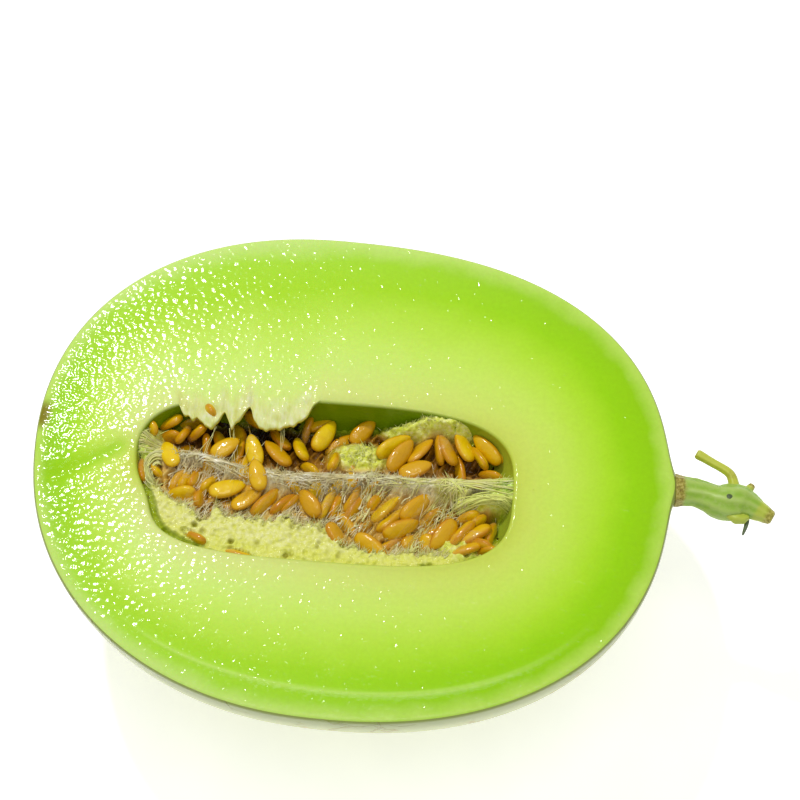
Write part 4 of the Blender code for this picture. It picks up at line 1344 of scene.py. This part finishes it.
class Strands:
    """Collects many fine strands into one piece."""

    def __init__(self, seed):
        self.draw = random.Random(seed)
        self.points = []
        self.faces = []
        self.fresh = []

    def add(self, path, radii, sides, fresh):
        before = len(self.points)
        add_tube(self.points, self.faces, path, radii, sides)
        self.fresh.extend([fresh] * (len(self.points) - before))

    def thread(self, start, end, radius, sag=0.3, fresh=0.0, steps=6):
        """A loose thread between two points, thinner in the middle, with a slight wander."""
        length = (end - start).length
        phase = self.draw.uniform(0, 6)
        side = (end - start).cross(Vector((0, 0, 1)))
        side = side.normalized() if side.length > 1e-9 else Vector((1, 0, 0))
        path = []
        for k in range(steps + 1):
            share = k / steps
            place = start.lerp(end, share)
            place.z -= sag * MM * 4 * share * (1 - share)
            place += side * 0.04 * length * math.sin(phase + 5 * share) * math.sin(math.pi * share)
            path.append(place)
        radii = [radius * MM * (0.6 + 0.4 * abs(2 * k / steps - 1)) for k in range(steps + 1)]
        self.add(path, radii, 4, fresh)

    def trail(self, way, radius, lift, fresh=0.0):
        """A thread that lies on the pulp along a way in millimetres, lifted most in its middle."""
        last = len(way) - 1
        phase = self.draw.uniform(0, 6)
        path = []
        for k, (x, y) in enumerate(way):
            aside_x = 0.12 * math.sin(phase + 0.9 * k)
            aside_y = 0.12 * math.cos(phase + 1.1 * k)
            path.append(on_pulp(x + aside_x, y + aside_y, lift * math.sin(math.pi * (0.1 + 0.8 * k / last))))
        radii = [radius * MM * (1 - 0.6 * k / last) * self.draw.uniform(0.8, 1.2) for k in range(last + 1)]
        self.add(path, radii, 5, fresh)

    def spike(self, root, way, length, radius, fresh=0.0):
        """A short torn end that tapers and bends over a little."""
        lean = Vector((self.draw.gauss(0, 0.25), self.draw.gauss(0, 0.25), self.draw.gauss(-0.1, 0.2)))
        path = []
        for k in range(4):
            share = k / 3
            path.append(root + (way * share + lean * share * share) * length * MM)
        radii = [radius * MM * (1.15 - share) for share in (0, 1 / 3, 2 / 3, 1)]
        self.add(path, radii, 3, fresh)

    def piece(self, name, material):
        mesh = new_mesh(name, self.points, self.faces)
        set_values(mesh, "fresh", self.fresh)
        return make_object(name, mesh, [material])


def on_pulp(x, y, lift=0.0):
    """A point on the pulp's surface, in millimetres across and above it."""
    height = float(pulp_height(np.array(x * MM), np.array(y * MM)))
    return Vector((x * MM, y * MM, FACE_HEIGHT + height + lift * MM))


def line_at(x, stations):
    """The height at x of a smooth line through stations, all in millimetres."""
    return float(smooth_line(np.array(x * MM), stations)) / MM


def middle_strand(x):
    return line_at(x, STRAND_LINE)


def torn_lip_y(x):
    return float(lip_edge_y(np.array(x * MM))) / MM


def hides_seed(x, y):
    """Whether a place in millimetres lies over one of the seeds on top."""
    for seed in ALL_SEEDS:
        turn = math.radians(seed.turn)
        along = (x - seed.x) * math.cos(turn) + (y - seed.y) * math.sin(turn)
        across = (y - seed.y) * math.cos(turn) - (x - seed.x) * math.sin(turn)
        over = (2 * along / seed.long) ** 2 + (2 * across / seed.wide) ** 2 < 1
        if over and seed.top < TOP_SEED_DEPTH:
            return True
    return False


def straight_way(start, end, steps):
    """Places in even steps from one place to another."""
    return [tuple(a + (b - a) * k / steps for a, b in zip(start, end)) for k in range(steps + 1)]


def make_strand(material, bunches):
    """The fluffy strand along the middle, and the threads that run from it to the seeds and the flap."""
    strands = Strands(5)
    draw = strands.draw
    for _ in range(STRAND_TRAILS):
        start = draw.uniform(-47, 33)
        length = draw.uniform(3, 9)
        off = draw.gauss(0, 1.0)
        drift = draw.gauss(0, 0.9)
        way = []
        for k in range(7):
            x = start + length * k / 6
            way.append((x, middle_strand(x) + off + drift * k / 6))
        green = 0.8 * float(smoothstep(-5, 15, start)) * draw.random()
        if not any(hides_seed(*place) for place in way):
            strands.trail(way, draw.uniform(0.08, 0.24), draw.uniform(-0.1, 0.6), green)
    for _ in range(STRAND_SPIKES):
        x = draw.uniform(-48, 34)
        y = middle_strand(x) + draw.gauss(0, 1.2)
        side = 1 if draw.random() < 0.55 else -1
        way = Vector((draw.gauss(0, 0.5), side * draw.uniform(0.3, 1), draw.uniform(0, 0.7)))
        length = draw.uniform(0.6, 2.0)
        strands.spike(on_pulp(x, y), way, length, draw.uniform(0.08, 0.18), 0.3 * draw.random())
    for bunch in bunches:
        for rings in placed_seeds(bunch):
            tip = Vector(rings[0].mean(axis=0))
            x = tip.x / MM + draw.gauss(0, 2.5)
            root = on_pulp(x, middle_strand(x) + draw.gauss(0, 1), 0.4)
            if (root - tip).length < 13 * MM:
                strands.thread(root, tip, draw.uniform(0.07, 0.18), 0.5, 0.2 * draw.random())
    for top_x, top_y, low_x, low_y in FLAP_THREADS:
        for _ in range(THREADS_PER_FLAP_POINT):
            top = Vector(((top_x + draw.gauss(0, 0.5)) * MM, (top_y + 0.8) * MM, FACE_HEIGHT - 3.5 * MM))
            low = on_pulp(low_x + draw.gauss(0, 0.9), low_y, 0.4)
            strands.thread(top, low, draw.uniform(0.07, 0.15), 0.4, 0.3 + 0.4 * draw.random())
    return strands.piece("pulp_strand", material)


def make_slanting_threads(material):
    """Slanting ridges and threads of pulp between the near seeds, from the lip up to the strand."""
    strands = Strands(6)
    draw = strands.draw
    for _ in range(SLANTING_THREADS):
        foot = draw.uniform(-47, 38)
        low_y = torn_lip_y(foot) - 0.6
        span = middle_strand(foot) - low_y - 1
        low_y += span * max(0, draw.uniform(-0.3, 0.9))
        length = draw.uniform(1.5, 6)
        lean = math.radians(draw.gauss(62, 12))
        bend = draw.gauss(0, 0.35)
        way = []
        for k in range(8):
            out = length * k / 7
            turn = lean + bend * k / 7
            way.append((foot + out * math.cos(turn), low_y + out * math.sin(turn)))
        if way[-1][1] > middle_strand(way[-1][0]) or any(hides_seed(x, y) for x, y in way):
            continue
        ridge = draw.random() < 0.12
        radius = draw.uniform(0.2, 0.4) if ridge else draw.uniform(0.06, 0.16)
        green = float(smoothstep(-10, 15, foot)) * draw.uniform(0, 0.8)
        strands.trail(way, radius, draw.uniform(-0.1, 0.9) * length / 6, green)
    return strands.piece("slanting_threads", material)


def make_tufts(material):
    """The torn ends along the lip's upper edge and on the green hills."""
    strands = Strands(7)
    draw = strands.draw
    for _ in range(LIP_SPIKES):
        x = draw.uniform(-53, 34)
        root = on_pulp(x, torn_lip_y(x) + draw.gauss(-0.8, 0.7), -0.2)
        way = Vector((draw.gauss(0.15, 0.45), draw.uniform(0.35, 1.0), draw.uniform(0.0, 0.7)))
        length = draw.uniform(0.5, 2.2)
        strands.spike(root, way, length, draw.uniform(0.08, 0.2), draw.uniform(0.2, 0.8))
    for hill in PULP_HILLS:
        if hill.rise <= 4:
            continue
        for _ in range(int(HILL_SPIKES_PER_REACH * hill.reach_x * hill.reach_y)):
            x = hill.x + draw.gauss(0, 0.5 * hill.reach_x)
            y = hill.y + draw.gauss(0.1 * hill.reach_y, 0.5 * hill.reach_y)
            way = Vector((draw.gauss(0, 0.5), draw.uniform(-0.2, 0.9), draw.uniform(0.2, 1)))
            length = draw.uniform(0.6, 2.0)
            strands.spike(on_pulp(x, y, -0.4), way, length, draw.uniform(0.1, 0.22), draw.uniform(0.6, 1))
    return strands.piece("torn_tufts", material)


def add_fan(strands):
    """Cords that spread from the knot at the stem end to the wall."""
    draw = strands.draw
    for cord in range(FAN_CORDS):
        for _ in range(THREADS_PER_CORD):
            start_x = 34.5 + draw.gauss(0, 1.6)
            start_y = -2.6 + 0.45 * cord + draw.gauss(0, 0.5)
            end_y = -4.4 + 1.45 * cord + draw.gauss(0, 0.4)
            swing = draw.gauss(0, 0.5)
            way = []
            for k in range(9):
                share = k / 8
                y = start_y + (end_y - start_y) * share + swing * math.sin(3 * share)
                way.append((start_x + (51.5 - start_x) * share, y))
            strands.trail(way, draw.uniform(0.1, 0.3), draw.uniform(0, 0.9), draw.uniform(0.4, 1))


def add_arch(strands):
    """The loose band that arches over the hollow at the stem end."""
    draw = strands.draw
    for _ in range(ARCH_THREADS):
        off = draw.gauss(0.3, 0.8)
        first = draw.uniform(33, 42)
        splay = draw.gauss(0, 0.08)
        way = []
        for k in range(9):
            x = first + (53 - first) * k / 8
            way.append((x, line_at(x, END_ARCH) + off + splay * (x - 44)))
        strands.trail(way, draw.uniform(0.12, 0.36), draw.uniform(-0.2, 0.8), draw.uniform(0.8, 1))


def add_knot(strands):
    """Short threads that run out from the knot on all sides but the stem's."""
    draw = strands.draw
    for _ in range(KNOT_THREADS):
        turn = math.radians(draw.uniform(20, 330))
        x = 34 + draw.gauss(0, 1.2)
        y = -2.0 + draw.gauss(0, 1.2)
        reach = draw.uniform(3, 7)
        way = straight_way((x, y), (x + reach * math.cos(turn), y + reach * math.sin(turn)), 6)
        if not any(hides_seed(*place) for place in way):
            strands.trail(way, draw.uniform(0.1, 0.3), draw.uniform(0.1, 0.8), draw.uniform(0.2, 0.9))


def add_blossom_loops(strands):
    """Loops of thread round the small hollow at the blossom end."""
    draw = strands.draw
    for _ in range(LOOP_THREADS):
        loop = draw.uniform(1.5, 5)
        first = math.radians(draw.uniform(60, 110))
        last = math.radians(draw.uniform(190, 290))
        turns = [first + (last - first) * k / 8 for k in range(9)]
        way = [(-49.5 + loop * math.cos(turn), -4 + 1.4 * loop * math.sin(turn)) for turn in turns]
        strands.trail(way, draw.uniform(0.1, 0.3), draw.uniform(0.3, 1.6), draw.uniform(0.2, 0.8))


def add_blossom_threads(strands):
    """Threads from the wall at the blossom end that draw together towards the strand."""
    draw = strands.draw
    for _ in range(WALL_THREADS):
        y = draw.uniform(0, 8)
        end_x = draw.uniform(-51, -45)
        way = straight_way((-56.5, y), (end_x, 3 + 0.3 * (y - 3)), 6)
        strands.trail(way, draw.uniform(0.06, 0.18), draw.uniform(-0.2, 0.4), draw.uniform(0.3, 0.9))


def make_end_threads(material):
    """The threads that join the strand to the flesh at the cavity's two ends."""
    strands = Strands(9)
    add_fan(strands)
    add_arch(strands)
    add_knot(strands)
    add_blossom_loops(strands)
    add_blossom_threads(strands)
    return strands.piece("end_threads", material)


# The stem


def stem_place(along, across, up=0):
    """A point measured from the middle of the stem's foot, in millimetres."""
    foot = STEM_SIDE_LENGTH + COLLAR_HEIGHT + STEM_GAP
    middle = FACE_HEIGHT - STEM_MIDDLE_DROP
    return Vector((foot + along * MM, STEM_MIDDLE_Y + across * MM, middle + up * MM))


def smooth_path(stations, steps):
    """A curve through stations of (x, y, z, radius), as even short steps."""
    places = np.array(stations)
    out = []
    last = len(places) - 1
    for k in range(steps + 1):
        at = last * k / steps
        i = min(int(at), last - 1)
        t = at - i
        before, here, there, beyond = (places[min(max(j, 0), last)] for j in (i - 1, i, i + 1, i + 2))
        point = 0.5 * (
            2 * here + (there - before) * t + (2 * before - 5 * here + 4 * there - beyond) * t**2
            + (3 * here - before - 3 * there + beyond) * t**3
        )
        out.append(point)
    return np.array(out)


def tone_share(spans, share, wander):
    """How strongly a tone shows along a tube, from spans of (from, to, amount) with ragged ends."""
    value = np.zeros_like(share)
    for low, high, amount in spans:
        starts = smoothstep(low - TONE_BLEND, low + TONE_BLEND, share + wander)
        ends = smoothstep(-high - TONE_BLEND, -high + TONE_BLEND, wander - share)
        value = np.maximum(value, amount * starts * ends)
    return value


def grown_tube(name, line, material, steps, sides, ribs, rib_depth, bump, **tones):
    """A ribbed, slightly knobbly tube with a rounded far end, and a span of its length for each tone."""
    path = smooth_path([[*stem_place(*place), radius * MM] for *place, radius in line], steps)
    rings = []
    rib_values = []
    turn = np.linspace(0, 2 * math.pi, sides, endpoint=False)
    for k in range(steps + 1):
        ahead = Vector((path[min(k + 1, steps)] - path[max(k - 1, 0)])[:3]).normalized()
        side = ahead.cross(Vector((0, 0, 1))).normalized()
        up = side.cross(ahead)
        wave = np.cos(ribs * turn + 0.8 * math.sin(k * 0.13))
        end_share = min(1, TUBE_END_SHARE + TUBE_END_STEP * (steps - k))
        radius = path[k][3] * (1 + rib_depth * wave) * end_share
        round_off = np.outer(np.cos(turn), side) + np.outer(np.sin(turn), up)
        rings.append(np.array(Vector(path[k][:3])) + radius[:, None] * round_off)
        rib_values.append(0.5 + 0.5 * wave)
    flat = np.array(rings).reshape(-1, 3)
    outward = flat - np.repeat(path[:, :3], sides, axis=0)
    outward /= np.linalg.norm(outward, axis=1)[:, None]
    flat += outward * (rough(flat, 1.6 * MM) * bump)[:, None]
    tube = closed_rings(name, flat.reshape(steps + 1, sides, 3), [material])
    set_values(tube.data, "rib", np.array(rib_values))
    share = np.linspace(0, 1, steps + 1)[:, None] * np.ones((1, sides))
    wander = 0.02 * rough(flat, 1.5 * MM, 4.4).reshape(share.shape)
    for tone in ("cork", "yellow", "dry"):
        set_values(tube.data, tone, tone_share(tones.get(tone, ()), share, wander))
    return tube


def make_stem(material):
    """The stem and all that grows from its joint, as one object of overlapping grown parts."""
    stalk = grown_tube(
        "stalk", STALK_LINE, material, steps=90, sides=48, ribs=9, rib_depth=0.035, bump=0.14 * MM,
        cork=((-0.1, 0.09, 1), (0.93, 1.2, 0.8)), yellow=((0.85, 1.2, 0.6),),
    )
    branch = grown_tube(
        "branch", BRANCH_LINE, material, steps=40, sides=20, ribs=6, rib_depth=0.09, bump=0.05 * MM,
        yellow=((-0.1, 1.2, 0.85),), cork=((0.3, 0.5, 0.3), (0.97, 1.2, 0.4)),
    )
    tendril = grown_tube(
        "tendril", TENDRIL_LINE, material, steps=20, sides=12, ribs=3, rib_depth=0.1, bump=0.05 * MM,
        dry=((-0.1, 1.2, 0.9),),
    )
    bud = grown_tube(
        "bud", BUD_LINE, material, steps=14, sides=16, ribs=4, rib_depth=0.05, bump=0.08 * MM,
        cork=((0.6, 1.2, 1),), yellow=((0.3, 1.2, 0.6),),
    )
    scar = grown_tube(
        "leaf_scar", LEAF_SCAR_LINE, material, steps=26, sides=20, ribs=5, rib_depth=0.06, bump=0.3 * MM,
        yellow=((-0.1, 1.2, 0.6),),
    )
    pore = grown_tube(
        "stalk_pore", PORE_LINE, material, steps=10, sides=16, ribs=3, rib_depth=0.04, bump=0.04 * MM,
        dry=((0.7, 1.2, 0.9),),
    )
    return join("vine_stem", [stalk, branch, tendril, bud, scar, pore])


def join(name, parts):
    """One object from several, with their stored values kept."""
    for part in bpy.context.view_layer.objects:
        part.select_set(part in parts)
    bpy.context.view_layer.objects.active = parts[0]
    bpy.ops.object.join()
    parts[0].name = name
    parts[0].data.name = name
    return parts[0]


# The studio


def make_floor(material):
    half = TABLE_HALF
    corners = [(-half, -half, 0), (half, -half, 0), (half, half, 0), (-half, half, 0)]
    floor = make_object("floor", new_mesh("floor", corners, [(0, 1, 2, 3)]), [material])


def direction(turn, elevation):
    """From compass degrees (0 is +Y, 90 is +X) and degrees above the floor."""
    turn = math.radians(turn)
    elevation = math.radians(elevation)
    level = math.cos(elevation)
    return Vector((math.sin(turn) * level, math.cos(turn) * level, math.sin(elevation)))


def soft_light(name, turn, elevation, distance, width, height, power):
    light = bpy.data.lights.new(name, "AREA")
    light.shape = "ELLIPSE"
    light.size = width
    light.size_y = height
    light.energy = power
    lamp = bpy.data.objects.new(name, light)
    way = direction(turn, elevation)
    lamp.location = Vector((0, 0, FACE_HEIGHT)) + way * distance
    lamp.rotation_euler = way.to_track_quat("Z", "Y").to_euler()
    bpy.context.scene.collection.objects.link(lamp)


def make_studio():
    world = bpy.data.worlds.new("soft_room")
    bpy.context.scene.world = world
    world.use_nodes = True
    sky = world.node_tree.nodes["Background"]
    sky.inputs["Color"].default_value = (1, 1, 1, 1)
    sky.inputs["Strength"].default_value = ROOM_STRENGTH
    soft_light("key", turn=-34, elevation=61, distance=1.2, width=0.06, height=0.085, power=6.4)
    soft_light("overhead", turn=150, elevation=84, distance=1.6, width=0.7, height=0.7, power=4.5)
    camera = bpy.data.cameras.new("camera")
    camera.lens = CAMERA_LENS
    camera.sensor_width = CAMERA_SENSOR
    holder = bpy.data.objects.new("camera", camera)
    way = direction(180 - math.degrees(CAMERA_TURN), math.degrees(CAMERA_ELEVATION))
    holder.location = CAMERA_AIM + way * CAMERA_DISTANCE
    holder.rotation_euler = way.to_track_quat("Z", "Y").to_euler()
    bpy.context.scene.collection.objects.link(holder)
    bpy.context.scene.camera = holder
    bpy.context.scene.view_settings.view_transform = "Standard"


def main():
    draw = random.Random(11)
    make_floor(lit_table())
    melon = make_melon(wet_flesh(), waxy_rind())
    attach(melon, "root")
    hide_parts("melon_half")
    skin = seed_skin()
    bunches = []
    for name, seeds in SEED_BUNCHES.items():
        bunch = make_seed_bunch(name.replace("seeds", "golden_seeds"), seeds, skin, draw)
        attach(bunch, "root")
        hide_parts(name)
        bunches.append(bunch)
    bpy.context.view_layer.update()
    pulp = make_pulp(fibrous_pulp(), bunches)
    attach(pulp, "root")
    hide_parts("seed_pulp")
    fibre = wet_fibre()
    fine_pieces = [make_films(seed_film(), bunches), make_strand(fibre, bunches)]
    fine_pieces += [make_slanting_threads(fibre), make_tufts(fibre), make_end_threads(fibre)]
    for piece in fine_pieces:
        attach(piece, "root")
    stem = make_stem(green_stalk())
    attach(stem, "root")
    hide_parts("stem")
    make_studio()


main()
